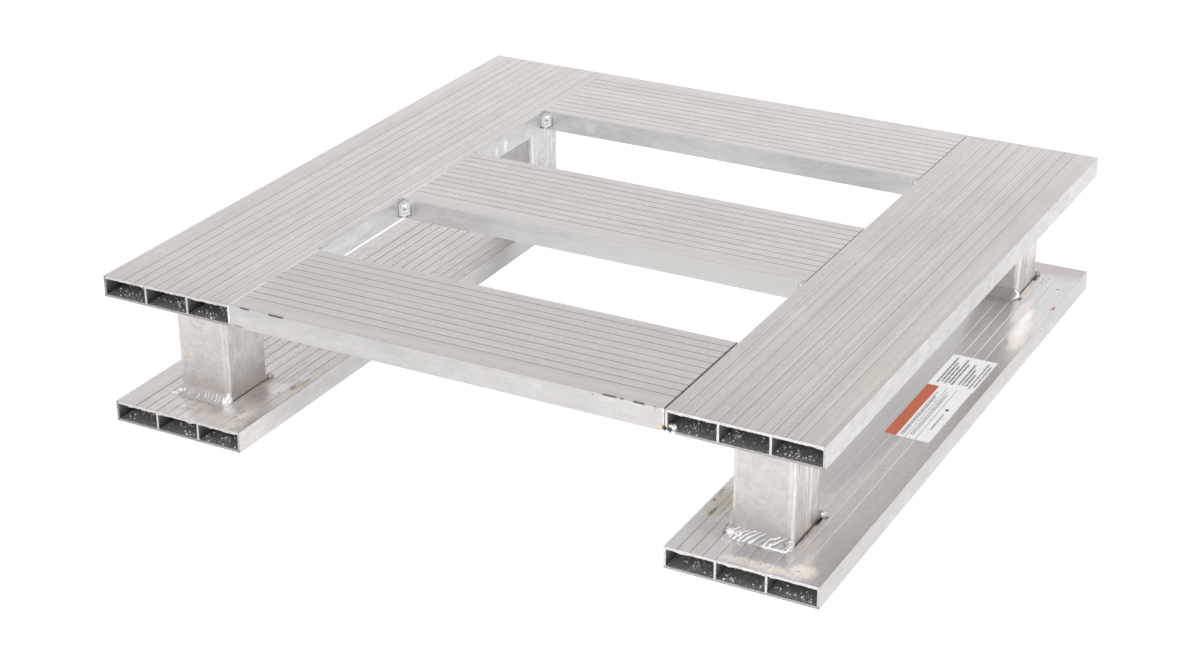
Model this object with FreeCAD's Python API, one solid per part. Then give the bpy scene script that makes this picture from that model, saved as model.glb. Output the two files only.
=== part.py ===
import FreeCAD, Part
import math
import os

V = FreeCAD.Vector

# Welded pallet of extruded hollow planks: five planks make the open deck, two more lie on the floor as
# runners, and four short tube posts stand between them.
# Frame: millimetres, +X to the right, +Y from the front to the rear, +Z up. The origin is on the floor,
# under the middle of the deck.

# ---- overall ----
deck_w = 762.0            # deck size across, X
deck_l = 762.0            # deck size front to rear, Y
post_h = 114.3            # clear height between runners and deck

# ---- plank extrusion, three hollow cells ----
plank_w = 150.4
plank_t = 22.225
wall = 2.5                # outer walls
web = 2.5                 # the two inner webs
edge_r = 0.6              # outer long edges
cell_r = 0.8              # corners inside the cells
groove_n = 10             # grooves along the top face
groove_pitch = 12.5
groove_first = 25.0       # first groove's centre from the plank's wide-margin edge
groove_w = 1.7
groove_d = 0.7

# ---- joints between cross planks and side planks ----
joint_gap = 0.6           # hairline left open at the right-hand end of each cross plank

# ---- posts, rectangular tube ----
post_w = 60.0             # X
post_d = 65.0             # Y
post_wall = 6.0
post_r = 6.0              # outer corners
post_inner_r = 1.5
post_x_left = -306.0      # centres
post_x_right = 303.5
post_y_front = -300.8
post_y_rear = 309.8

# ---- weld beads ----
fillet_leg = 9.0          # foot and head welds
fillet_bulge = 1.1        # how far the bead's face stands out past the straight line between its toes
corner_leg = 8.6          # upright beads in the deck openings
corner_bulge = 1.3
corner_margin = 1.6       # kept from the plank's top and bottom face
seam_w = 9.0              # bead under each butt joint
seam_h = 2.6
seam_margin = 3.0         # kept from the plank's long edges

# ---- stickers on the right runner ----
sticker_t = 0.2
sticker_a = (322.9, -87.6, 369.5, 31.4)     # x0, y0, x1, y1
sticker_b = (322.5, 32.0, 370.5, 109.0)
sticker_r = 1.0

# ---- derived ----
height = 2 * plank_t + post_h
z_base_top = plank_t
z_deck_bottom = plank_t + post_h
half_w = deck_w / 2
half_l = deck_l / 2
inner_x = half_w - plank_w          # inner faces of the side planks
cell_w = (plank_w - 2 * wall - 2 * web) / 3

out = []


def line(a, b):
    return Part.makeLine(V(*a), V(*b))


def arc(a, m, b):
    return Part.Arc(V(*a), V(*m), V(*b)).toShape()


def rounded_rect(u0, v0, u1, v1, r):
    """Closed outline in the XY plane, counter-clockwise."""
    k = r * (1 - math.sqrt(0.5))
    edges = [
        line((u0 + r, v0, 0), (u1 - r, v0, 0)),
        arc((u1 - r, v0, 0), (u1 - k, v0 + k, 0), (u1, v0 + r, 0)),
        line((u1, v0 + r, 0), (u1, v1 - r, 0)),
        arc((u1, v1 - r, 0), (u1 - k, v1 - k, 0), (u1 - r, v1, 0)),
        line((u1 - r, v1, 0), (u0 + r, v1, 0)),
        arc((u0 + r, v1, 0), (u0 + k, v1 - k, 0), (u0, v1 - r, 0)),
        line((u0, v1 - r, 0), (u0, v0 + r, 0)),
        arc((u0, v0 + r, 0), (u0 + k, v0 + k, 0), (u0 + r, v0, 0)),
    ]
    return Part.Wire(edges)


def plank_face():
    """Section of the extrusion: u (X) across from the wide-margin edge, v (Y) up to the grooved face."""
    r = edge_r
    k = r * (1 - math.sqrt(0.5))
    w, t = plank_w, plank_t
    e = [
        line((r, 0, 0), (w - r, 0, 0)),
        arc((w - r, 0, 0), (w - k, k, 0), (w, r, 0)),
        line((w, r, 0), (w, t - r, 0)),
        arc((w, t - r, 0), (w - k, t - k, 0), (w - r, t, 0)),
    ]
    last = (w - r, t, 0)
    for i in reversed(range(groove_n)):
        c = groove_first + i * groove_pitch
        a = (c + groove_w / 2, t, 0)
        m = (c, t - groove_d, 0)
        b = (c - groove_w / 2, t, 0)
        e += [line(last, a), line(a, m), line(m, b)]
        last = b
    e += [
        line(last, (r, t, 0)),
        arc((r, t, 0), (k, t - k, 0), (0, t - r, 0)),
        line((0, t - r, 0), (0, r, 0)),
        arc((0, r, 0), (k, k, 0), (r, 0, 0)),
    ]
    outer = Part.Face(Part.Wire(e))
    holes = []
    for i in range(3):
        u0 = wall + i * (cell_w + web)
        holes.append(Part.Face(rounded_rect(u0, wall, u0 + cell_w, t - wall, cell_r)))
    return outer.cut(Part.makeCompound(holes)).Faces[0]


SECTION = plank_face()


def place(shape, x_to, y_to, z_to, origin):
    """Turn a shape so that its X, Y and Z axes point along the given row axes, and move it to origin. A
    left-handed set of axes mirrors the shape first."""
    a, b, c = V(*x_to), V(*y_to), V(*z_to)
    if a.cross(b).dot(c) < 0:
        shape = shape.mirror(V(0, 0, 0), V(1, 0, 0))
        a = -a
    m = FreeCAD.Matrix(a.x, b.x, c.x, 0, a.y, b.y, c.y, 0, a.z, b.z, c.z, 0, 0, 0, 0, 1)
    shape = shape.transformed(m)
    shape.translate(V(*origin))
    return shape


def plank_along_y(x_wide, to_x, y0, length, z):
    """Plank running along Y. x_wide is its wide-margin edge; to_x is +1 if it extends to higher X, else -1."""
    body = SECTION.extrude(V(0, 0, length))
    return place(body, (to_x, 0, 0), (0, 0, 1), (0, 1, 0), (x_wide, y0, z))


def plank_along_x(y_wide, to_y, x0, length, z):
    """Plank running along X. y_wide is its wide-margin edge; to_y is +1 if it extends to higher Y, else -1."""
    body = SECTION.extrude(V(0, 0, length))
    return place(body, (0, to_y, 0), (0, 0, 1), (1, 0, 0), (x0, y_wide, z))


def post_outer(cx, cy, z0, h):
    w = rounded_rect(cx - post_w / 2, cy - post_d / 2, cx + post_w / 2, cy + post_d / 2, post_r)
    s = Part.Face(w).extrude(V(0, 0, h))
    s.translate(V(0, 0, z0))
    return s


def post(cx, cy):
    bore = Part.Face(rounded_rect(cx - post_w / 2 + post_wall, cy - post_d / 2 + post_wall,
                                  cx + post_w / 2 - post_wall, cy + post_d / 2 - post_wall,
                                  post_inner_r)).extrude(V(0, 0, post_h + 2))
    bore.translate(V(0, 0, z_base_top - 1))
    return post_outer(cx, cy, z_base_top, post_h).cut(bore)


def bead_section(leg, bulge, back):
    """Fillet bead section in the XY plane: corner at the origin, toes at (leg, 0) and (0, leg), a bulged
    face between them, and a strip of depth back behind the Y axis."""
    m = leg / 2 + bulge * math.sqrt(0.5)
    pts = [line((-back, 0, 0), (leg, 0, 0)), arc((leg, 0, 0), (m, m, 0), (0, leg, 0))]
    if back > 0:
        pts += [line((0, leg, 0), (-back, leg, 0)), line((-back, leg, 0), (-back, 0, 0))]
    else:
        pts += [line((0, leg, 0), (0, 0, 0))]
    return Part.Face(Part.Wire(pts))


def post_bead(cx, cy, side, top):
    """Bead across one face of a post: side -1 is its front face, +1 its rear face. top is False at the
    foot and True at the head."""
    back = post_r - 0.5
    f = bead_section(fillet_leg, fillet_bulge, back)
    s = f.extrude(V(0, 0, post_w))
    # section x points out of the face, section y up from the runner, or down from the deck
    s = place(s, (0, side, 0), (0, 0, -1 if top else 1), (1, 0, 0),
              (cx - post_w / 2, cy + side * post_d / 2, z_deck_bottom if top else z_base_top))
    # the ends of the bead follow the post's rounded corners
    ends = Part.Face(rounded_rect(cx - post_w / 2, cy - post_d / 2 - fillet_leg - 2,
                                  cx + post_w / 2, cy + post_d / 2 + fillet_leg + 2, 5.0)
                     ).extrude(V(0, 0, fillet_leg + 2))
    ends.translate(V(0, 0, z_deck_bottom - fillet_leg - 2 if top else z_base_top))
    s = s.common(ends)
    return s.cut(post_outer(cx, cy, z_base_top, post_h))


def corner_bead(x, y, dx):
    """Upright bead where a cross plank's front face (at y) meets a side plank's inner face (at x)."""
    f = bead_section(corner_leg, corner_bulge, 0)
    h = plank_t - 2 * corner_margin
    s = f.extrude(V(0, 0, h))
    # section x points inward along X, section y towards the front
    return place(s, (dx, 0, 0), (0, -1, 0), (0, 0, 1), (x, y, z_deck_bottom + corner_margin))


def seam_bead(x, y0, y1):
    """Bead along the underside of a butt joint at x."""
    a = (x - seam_w / 2, 0, z_deck_bottom)
    b = (x + seam_w / 2, 0, z_deck_bottom)
    lo = (x, 0, z_deck_bottom - seam_h)
    w = Part.Wire([line(a, b), arc(b, lo, a)])
    s = Part.Face(w).extrude(V(0, y1 - y0, 0))
    s.translate(V(0, y0, 0))
    return s


def sticker(box):
    x0, y0, x1, y1 = box
    s = Part.Face(rounded_rect(x0, y0, x1, y1, sticker_r)).extrude(V(0, 0, sticker_t))
    s.translate(V(0, 0, z_base_top))
    return s


def add(name, *solids):
    for s in solids:
        if len(s.Solids) != 1 or not s.isValid():
            raise ValueError("%s: %d solids, valid %s" % (name, len(s.Solids), s.isValid()))
    shape = solids[0].Solids[0] if len(solids) == 1 else Part.makeCompound([s.Solids[0] for s in solids])
    out.append((name, shape))


# ---- deck ----
add("deck_side_left", plank_along_y(-half_w, 1, -half_l, deck_l, z_deck_bottom))
add("deck_side_right", plank_along_y(half_w, -1, -half_l, deck_l, z_deck_bottom))
cross_len = deck_w - 2 * plank_w - joint_gap
y_front = -half_l
y_middle = -plank_w / 2
y_rear = half_l - plank_w
add("deck_cross_front", plank_along_x(y_front, 1, -inner_x, cross_len, z_deck_bottom))
add("deck_cross_middle", plank_along_x(y_middle, 1, -inner_x, cross_len, z_deck_bottom))
add("deck_cross_rear", plank_along_x(y_rear + plank_w, -1, -inner_x, cross_len, z_deck_bottom))

# ---- runners ----
add("base_runner_left", plank_along_y(-half_w, 1, -half_l, deck_l, 0))
add("base_runner_right", plank_along_y(half_w, -1, -half_l, deck_l, 0))

# ---- posts with their welds ----
for fb, cy in (("front", post_y_front), ("rear", post_y_rear)):
    for lr, cx in (("left", post_x_left), ("right", post_x_right)):
        add("post_%s_%s" % (fb, lr), post(cx, cy))
        add("weld_foot_%s_%s" % (fb, lr), post_bead(cx, cy, -1, False), post_bead(cx, cy, 1, False))
        add("weld_head_%s_%s" % (fb, lr), post_bead(cx, cy, -1, True), post_bead(cx, cy, 1, True))

# ---- deck joint welds ----
for name, y0, upright in (("front", y_front, False), ("middle", y_middle, True), ("rear", y_rear, True)):
    for lr, x, dx in (("left", -inner_x, 1), ("right", inner_x, -1)):
        beads = [seam_bead(x, y0 + seam_margin, y0 + plank_w - seam_margin)]
        if upright:
            beads.append(corner_bead(x, y0, dx))
        add("weld_joint_%s_%s" % (name, lr), *beads)

# ---- stickers ----
add("band_sticker", sticker(sticker_a))
add("plain_sticker", sticker(sticker_b))

os.makedirs("parts", exist_ok=True)
for name, shape in out:
    shape.exportStep("parts/%s.step" % name)
    bb = shape.BoundBox
    print("%-26s vol %10.1f mm3  x %.2f..%.2f  y %.2f..%.2f  z %.2f..%.2f" %
          (name, shape.Volume, bb.XMin, bb.XMax, bb.YMin, bb.YMax, bb.ZMin, bb.ZMax))
print("nodes", len(out), "height", height)
print("aluminium volume mm3", sum(s.Volume for n, s in out))
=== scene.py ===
import math
import random

import bmesh
import bpy
import numpy as np
from mathutils import Matrix, Vector, geometry, noise


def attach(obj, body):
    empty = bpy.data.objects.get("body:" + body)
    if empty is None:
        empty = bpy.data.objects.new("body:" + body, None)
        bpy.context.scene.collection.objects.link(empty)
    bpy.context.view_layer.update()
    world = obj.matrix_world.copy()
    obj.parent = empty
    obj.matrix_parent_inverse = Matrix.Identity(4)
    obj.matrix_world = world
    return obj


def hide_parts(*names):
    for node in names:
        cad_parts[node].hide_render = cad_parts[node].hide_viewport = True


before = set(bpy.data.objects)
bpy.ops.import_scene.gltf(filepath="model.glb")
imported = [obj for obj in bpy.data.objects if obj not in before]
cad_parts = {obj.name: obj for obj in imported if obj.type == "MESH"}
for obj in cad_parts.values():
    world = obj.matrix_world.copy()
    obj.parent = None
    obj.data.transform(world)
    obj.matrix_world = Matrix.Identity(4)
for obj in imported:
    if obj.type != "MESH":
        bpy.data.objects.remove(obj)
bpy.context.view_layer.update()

# ------------------------------------------------------------------ sizes, millimetres, as in the frame
W, T = 150.4, 22.225            # plank section
WALL, WEB = 2.5, 2.5
EDGE_R, CELL_R = 0.6, 0.8
CELL = (W - 2 * WALL - 2 * WEB) / 3
HALF = 381.0
INNER = HALF - W
POST_H = 114.3
Z_TOP = T                       # runner's top
Z_DECK = T + POST_H             # deck's underside
POST_W, POST_D, POST_R = 60.0, 65.0, 6.0
POSTS = {"front_left": (-306.0, -300.8), "front_right": (303.5, -300.8),
         "rear_left": (-306.0, 309.8), "rear_right": (303.5, 309.8)}
LEG = 9.0
CROSS = 2 * HALF - 2 * W - 0.6
MM = 0.001

# ------------------------------------------------------------------ camera
cam_data = bpy.data.cameras.new("cam")
cam_data.sensor_width = 36.0
cam_data.sensor_fit = "HORIZONTAL"
cam_data.lens = 69.228
cam_data.clip_end = 50
cam = bpy.data.objects.new("cam", cam_data)
bpy.context.scene.collection.objects.link(cam)
look = Vector((-0.42562607, 0.79785615, -0.42692857)).normalized()
up = Vector((-0.1988247, 0.37781141, 0.90428274))
right = look.cross(up).normalized()
up = right.cross(look).normalized()
cam.matrix_world = Matrix((
    (right.x, up.x, -look.x, 1.0141955),
    (right.y, up.y, -look.y, -1.9685294),
    (right.z, up.z, -look.z, 1.0666150),
    (0, 0, 0, 1)))
bpy.context.scene.camera = cam


# ------------------------------------------------------------------ node helper
class Net:
    """A Principled material with short calls for its nodes. Colours and numbers are given as sockets or values."""

    def __init__(self, name, metallic=1.0, **fixed):
        self.mat = bpy.data.materials.new(name)
        self.mat.use_nodes = True
        self.t = self.mat.node_tree
        self.t.nodes.clear()
        out = self.t.nodes.new("ShaderNodeOutputMaterial")
        self.p = self.t.nodes.new("ShaderNodeBsdfPrincipled")
        self.t.links.new(self.p.outputs[0], out.inputs[0])
        self.p.inputs["Metallic"].default_value = metallic
        for key, value in fixed.items():
            self.p.inputs[key.replace("_", " ")].default_value = value

    def put(self, sock, value):
        if isinstance(value, bpy.types.NodeSocket):
            self.t.links.new(value, sock)
        elif isinstance(value, (tuple, list)) and len(value) == 3 and sock.type == "RGBA":
            sock.default_value = (*value, 1)
        else:
            sock.default_value = value

    def new(self, kind, **props):
        node = self.t.nodes.new(kind)
        for key, value in props.items():
            setattr(node, key, value)
        return node

    def attr(self, name, out="Vector"):
        return self.new("ShaderNodeAttribute", attribute_name=name).outputs[out]

    def mm(self):
        """Position in the frame, millimetres."""
        return self.vmul(self.new("ShaderNodeTexCoord").outputs["Object"], (1000, 1000, 1000))

    def normal(self):
        return self.new("ShaderNodeNewGeometry").outputs["True Normal"]

    def math(self, op, a, b=0.0, c=0.0, clamp=False):
        node = self.new("ShaderNodeMath", operation=op, use_clamp=clamp)
        for sock, value in zip(node.inputs, (a, b, c)):
            self.put(sock, value)
        return node.outputs[0]

    def add(self, a, b):
        return self.math("ADD", a, b)

    def mul(self, a, b):
        return self.math("MULTIPLY", a, b)

    def vec(self, op, a, b=(0, 0, 0), out="Vector"):
        node = self.new("ShaderNodeVectorMath", operation=op)
        self.put(node.inputs[0], a)
        self.put(node.inputs[1], b)
        return node.outputs[out]

    def vmul(self, a, b):
        return self.vec("MULTIPLY", a, b)

    def vadd(self, a, b):
        return self.vec("ADD", a, b)

    def split(self, a):
        node = self.new("ShaderNodeSeparateXYZ")
        self.put(node.inputs[0], a)
        return node.outputs

    def join(self, x, y, z):
        node = self.new("ShaderNodeCombineXYZ")
        for sock, value in zip(node.inputs, (x, y, z)):
            self.put(sock, value)
        return node.outputs[0]

    def noise(self, vec, scale=1.0, detail=2.0, rough=0.5, dist=0.0):
        node = self.new("ShaderNodeTexNoise")
        self.put(node.inputs["Vector"], vec)
        for key, value in (("Scale", scale), ("Detail", detail), ("Roughness", rough), ("Distortion", dist)):
            self.put(node.inputs[key], value)
        return node.outputs[0]

    def voronoi(self, vec, scale=1.0, out="Distance", rand=1.0, feature="F1"):
        node = self.new("ShaderNodeTexVoronoi", feature=feature)
        self.put(node.inputs["Vector"], vec)
        self.put(node.inputs["Scale"], scale)
        self.put(node.inputs["Randomness"], rand)
        return node.outputs[out]

    def map(self, value, a, b, c=0.0, d=1.0, kind="LINEAR"):
        node = self.new("ShaderNodeMapRange", interpolation_type=kind, clamp=True)
        for key, v in (("Value", value), ("From Min", a), ("From Max", b), ("To Min", c), ("To Max", d)):
            self.put(node.inputs[key], v)
        return node.outputs[0]

    def mix(self, fac, a, b, mode="MIX"):
        node = self.new("ShaderNodeMix", data_type="RGBA", blend_type=mode)
        self.put(node.inputs[0], fac)
        self.put(node.inputs[6], a)
        self.put(node.inputs[7], b)
        return node.outputs[2]

    def fmix(self, fac, a, b):
        node = self.new("ShaderNodeMix", data_type="FLOAT")
        self.put(node.inputs[0], fac)
        self.put(node.inputs[2], a)
        self.put(node.inputs[3], b)
        return node.outputs[0]

    def scale_colour(self, colour, by):
        """Colour times a number socket."""
        return self.mix(1.0, colour, self.join(by, by, by), "MULTIPLY")

    def bump(self, height, strength, mm, under=None):
        node = self.new("ShaderNodeBump")
        self.put(node.inputs["Strength"], strength)
        self.put(node.inputs["Distance"], mm * MM)
        self.put(node.inputs["Height"], height)
        if under is not None:
            self.put(node.inputs["Normal"], under)
        return node.outputs[0]

    def spot(self, pos, centre, radii, soft=0.6, wobble=None, amount=0.5):
        """1 inside an ellipsoid about centre, falling to 0 past its edge."""
        d = self.vec("LENGTH", self.vmul(self.vadd(pos, [-c for c in centre]), [1 / r for r in radii]), out="Value")
        if wobble is not None:
            d = self.add(d, self.mul(self.math("SUBTRACT", wobble, 0.5), amount))
        return self.map(d, 1.0 - soft, 1.0, 1.0, 0.0, "SMOOTHSTEP")

    def finish(self, colour, rough, normal=None):
        self.put(self.p.inputs["Base Color"], colour)
        self.put(self.p.inputs["Roughness"], rough)
        if normal is not None:
            self.put(self.p.inputs["Normal"], normal)
        return self.mat


# ------------------------------------------------------------------ mesh helper
class Shape:
    """Collects vertices in millimetres, faces with material indexes, and named values on vertices."""

    def __init__(self):
        self.v, self.f, self.m, self.loc, self.shade_wear = [], [], [], [], []

    def point(self, p, loc=(0, 0, 0), shade_wear=0.0):
        self.v.append(tuple(p))
        self.loc.append(tuple(loc))
        self.shade_wear.append(shade_wear)
        return len(self.v) - 1

    def face(self, *i, mat=0):
        self.f.append(i)
        self.m.append(mat)

    def build(self, name, mats, nodes=(), sharp=50, flip_check=True):
        mesh = bpy.data.meshes.new(name)
        mesh.from_pydata([(x * MM, y * MM, z * MM) for x, y, z in self.v], [], self.f)
        for mat in mats:
            mesh.materials.append(mat)
        mesh.polygons.foreach_set("material_index", self.m)
        a = mesh.attributes.new("loc", "FLOAT_VECTOR", "POINT")
        a.data.foreach_set("vector", np.array(self.loc, dtype=np.float32).ravel())
        a = mesh.attributes.new("shade_wear", "FLOAT", "POINT")
        a.data.foreach_set("value", np.array(self.shade_wear, dtype=np.float32))
        bm = bmesh.new()
        bm.from_mesh(mesh)
        if flip_check:
            bmesh.ops.recalc_face_normals(bm, faces=bm.faces)
        limit = math.radians(sharp)
        for f in bm.faces:
            f.smooth = True
        for e in bm.edges:
            if len(e.link_faces) == 2 and e.calc_face_angle(0) > limit:
                e.smooth = False
        bm.to_mesh(mesh)
        bm.free()
        mesh.update()
        ob = bpy.data.objects.new(name, mesh)
        bpy.context.scene.collection.objects.link(ob)
        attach(ob, "root")
        if nodes:
            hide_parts(*nodes)
        return ob


# ------------------------------------------------------------------ aluminium, planks
def plank_skin(name, base, tint, rough, seed, spots=None, contrast=1.0, groove=0.16, fleck=0.05, bright_edge=(),
               foot_lines=(), fades=(), mottle=0.03, wavy=1.0, lip=0.05, patchy=(0.22, 0.15), die=0.0, lit_wall=0,
               glow=(), rim=0.0):
    """Mill-finish extrusion: faint lines along the length, soft blotches, light scuffs and fine grain. loc holds
    (across, along, up) in millimetres. bright_edge lists stretches of the inner top edge that get a painted highlight,
    foot_lines the posts that stand on it, round whose feet a thin painted shadow lies. Each of fades (w0, w1, g0, g1)
    changes the shade along the length: painted light and shade. die is the strength of the lines left by the extrusion
    die. groove is the painted shade in the bottoms of the grooves and lip the painted highlight on their shoulders,
    lit_wall the side of the grooves whose wall catches light and alone gets that highlight. rim how far the rounded
    wide-margin top edge is painted pale and matte, a painted highlight (the other edge if negative), and each of glow
    (centre, radii, amount, fill[, u0, u1]) a patch that glows with emission: painted light."""
    n = Net(name)
    raw = n.attr("loc")
    loc = n.vadd(raw, (seed * 37.1, seed * 411.7, seed * 5.3))
    shade_wear = n.attr("shade_wear", "Fac")
    pos = n.mm()
    lu, lw, lv = n.split(raw)
    lines = n.noise(n.vmul(loc, (1.6, 0.006, 1.6)), 1.0, 3, 0.7)
    bands = n.noise(n.vmul(loc, (0.12, 0.0022, 0.12)), 1.0, 2, 0.5)
    blotch = n.noise(n.vmul(loc, (0.030, 0.012, 0.030)), 1.0, 4, 0.6, 0.6)
    blush = n.noise(n.vmul(n.vadd(loc, (71, 13, 5)), (0.055, 0.028, 0.055)), 1.0, 3, 0.6)
    grain = n.noise(n.vmul(loc, (1.3, 0.7, 1.3)), 1.0, 3, 0.7)
    flecks = n.noise(n.vmul(loc, (0.34, 0.16, 0.34)), 1.0, 4, 0.75, 0.8)
    scuff_a = n.noise(n.vmul(loc, (0.9, 0.035, 0.9)), 1.0, 4, 0.8, 1.3)
    rub = n.map(scuff_a, 0.62, 0.74)
    pits = n.map(n.voronoi(n.vmul(loc, (0.11, 0.05, 0.11)), 1.0), 0.0, 0.06, 1.0, 0.0)
    level = n.add(0.97, n.mul(n.math("SUBTRACT", lines, 0.5), 0.12 * contrast))
    level = n.add(level, n.mul(n.math("SUBTRACT", bands, 0.5), 0.13 * contrast))
    level = n.add(level, n.mul(n.math("SUBTRACT", grain, 0.5), 0.20))
    level = n.add(level, n.mul(n.math("SUBTRACT", flecks, 0.5), 4.0 * fleck))
    level = n.add(level, n.mul(rub, 0.05))
    level = n.math("SUBTRACT", level, n.mul(pits, 0.10))
    if die:
        drawn = n.noise(n.vmul(loc, (0.46, 0.0013, 0.46)), 1.0, 3, 0.6)
        drawn2 = n.noise(n.vmul(n.vadd(loc, (17, 3, 9)), (0.20, 0.0008, 0.20)), 1.0, 2, 0.5)
        level = n.add(level, n.map(drawn, 0.36, 0.64, -die, die))
        level = n.add(level, n.map(drawn2, 0.38, 0.62, -die * 0.7, die * 0.7))
    # painted shade in the bottoms of the grooves and a painted highlight on their shoulders, on one side only where
    # lit_wall is set
    off = n.math("FRACT", n.mul(n.math("SUBTRACT", lu, 18.75), 0.08))
    side_off = n.mul(n.math("SUBTRACT", off, 0.5), 12.5)
    on_top = n.mul(n.mul(n.map(lu, 18.7, 18.8), n.map(lu, 143.8, 143.7)), n.map(lv, T - 1.1, T - 0.8))
    off = n.math("ABSOLUTE", n.add(side_off, 0.22 * lit_wall))
    groove_shade = n.mul(n.map(off, 0.72, 0.34), on_top)
    if lit_wall:
        away = n.mul(side_off, lit_wall)
        shoulder_highlight = n.mul(n.mul(n.map(away, 2.0, 1.2), n.map(away, 0.40, 0.75)), on_top)
    else:
        shoulder_highlight = n.mul(n.mul(n.map(off, 2.1, 1.1), n.map(off, 0.75, 0.95)), on_top)
    level = n.mul(level, n.add(n.add(1.0, n.mul(groove_shade, -groove)), n.mul(shoulder_highlight, lip)))
    colour = n.mix(n.map(blotch, 0.35, 0.7), base, tint)
    colour = n.mix(n.mul(n.map(blush, 0.52, 0.70), 0.55), colour, (base[0], base[1] * 0.945, base[2] * 0.945))
    rgh = n.add(rough, n.mul(n.math("SUBTRACT", blotch, 0.5), 0.10))
    rgh = n.add(rgh, n.mul(n.math("SUBTRACT", lines, 0.5), 0.07))
    rgh = n.math("SUBTRACT", rgh, n.mul(rub, 0.05))
    patch = n.noise(n.vmul(loc, (patchy[0], patchy[1], patchy[0])), 1.0, 4, 0.65, 0.9)
    level = n.mul(level, n.add(1.0, n.map(patch, 0.34, 0.66, -mottle, mottle)))
    colour = n.mix(n.mul(n.map(patch, 0.50, 0.36), min(1.0, mottle * 4)), colour,
                   (base[0] * 1.01, base[1] * 0.985, base[2] * 0.955))
    # the fades are painted light and shade along the length
    for f in fades:
        level = n.mul(level, n.map(lw, *f))
    colour = n.scale_colour(colour, level)
    wob = n.noise(n.vmul(pos, (0.14, 0.08, 0.14)), 1.0, 4, 0.7)
    broken = n.map(n.noise(n.vmul(pos, (0.42, 0.16, 0.42)), 1.0, 4, 0.7, 0.6), 0.38, 0.54, 0.15, 1.0)
    dull = 0.0
    for spot in (spots or ()):
        centre, radii, shade, amount, dr = spot[:5]
        soft, irregular = spot[5:7] if len(spot) > 5 else (0.75, 1.5)
        sp = n.mul(n.spot(pos, centre, radii, soft, wob, irregular), amount)
        if len(spot) > 7 and spot[7]:
            sp = n.mul(sp, broken)
        if len(spot) > 8:
            sp = n.mul(sp, n.mul(n.map(lu, spot[8][0] - 0.3, spot[8][0] + 0.3), n.map(lu, spot[8][1] + 0.3, spot[8][1] - 0.3)))
        colour = n.mix(sp, colour, shade)
        if dr < 0:
            dull = n.math("MAXIMUM", dull, n.mul(sp, -dr))
        elif dr:
            rgh = n.add(rgh, n.mul(sp, dr))
    # a painted highlight along stretches of the inner top edge at the seams
    for w0, w1, amount in bright_edge:
        m = n.mul(n.mul(n.map(lu, W - 1.5, W - 1.1), n.map(lv, T - 1.3, T - 1.0)),
                  n.mul(n.map(lw, w0, w0 + 6), n.map(lw, w1 - 6, w1, 1, 0)))
        colour = n.mix(n.mul(m, amount), colour, (1.0, 0.995, 0.985))
    # a thin painted shadow on the top round the foot of each post
    for cx, cy in foot_lines:
        px, py, pz = n.split(pos)
        ax = n.math("ABSOLUTE", n.math("SUBTRACT", px, cx))
        ay = n.math("ABSOLUTE", n.math("SUBTRACT", py, cy))
        m = n.mul(n.mul(n.map(ax, POST_W / 2 + 0.8, POST_W / 2 + 1.7, 1, 0), n.map(ax, POST_W / 2 - 2, POST_W / 2 - 1)),
                  n.mul(n.map(ay, POST_D / 2 + 2, POST_D / 2 - 1), n.map(lv, T - 2, T - 1.5)))
        colour = n.mix(n.mul(m, 0.9), colour, (0.05, 0.045, 0.04))
        rgh = n.add(rgh, n.mul(m, 0.3))
    # painted shade in the nicks along the top edge
    colour = n.mix(n.map(shade_wear, 0.0, 1.0, 0.0, 0.85), colour, (0.10, 0.09, 0.085))
    h = n.add(n.add(n.mul(lines, 0.5), n.mul(grain, 0.5)), n.mul(flecks, fleck * 12))
    nrm = n.bump(h, 0.6, 0.045)
    soft_ = n.noise(n.vmul(loc, (0.05, 0.02, 0.05)), 1.0, 2, 0.5)
    nrm = n.bump(soft_, 0.35 * wavy, 0.35, nrm)
    # the rounded top edge painted pale and matte: a painted highlight
    if rim:
        edge = n.map(lu, 1.05, 0.65) if rim > 0 else n.map(lu, W - 1.05, W - 0.65)
        m = n.mul(n.mul(edge, n.map(lv, T - 1.05, T - 0.65)), n.map(shade_wear, 0.0, 0.35, abs(rim), 0.0))
        colour = n.mix(m, colour, (0.80, 0.785, 0.77))
        dull = n.math("MAXIMUM", dull, n.mul(m, 0.75))
    if dull != 0.0:
        n.put(n.p.inputs["Metallic"], n.math("SUBTRACT", 1.0, dull))
    # patches that glow with emission: painted light
    if glow:
        shine = 0.0
        for centre, radii, amount, fill, *land in glow:
            sp = n.mul(n.spot(pos, centre, radii, 0.7, wob, 0.9), amount)
            sp = n.mul(sp, n.add(fill, n.mul(broken, 1.0 - fill)))
            if land:
                sp = n.mul(sp, n.mul(n.map(lu, land[0] - 0.3, land[0] + 0.3), n.map(lu, land[1] + 0.3, land[1] - 0.3)))
            shine = n.math("MAXIMUM", shine, sp)
        n.p.inputs["Emission Color"].default_value = (1.0, 0.965, 0.93, 1)
        n.put(n.p.inputs["Emission Strength"], shine)
    return n.finish(colour, rgh, nrm)


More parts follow.
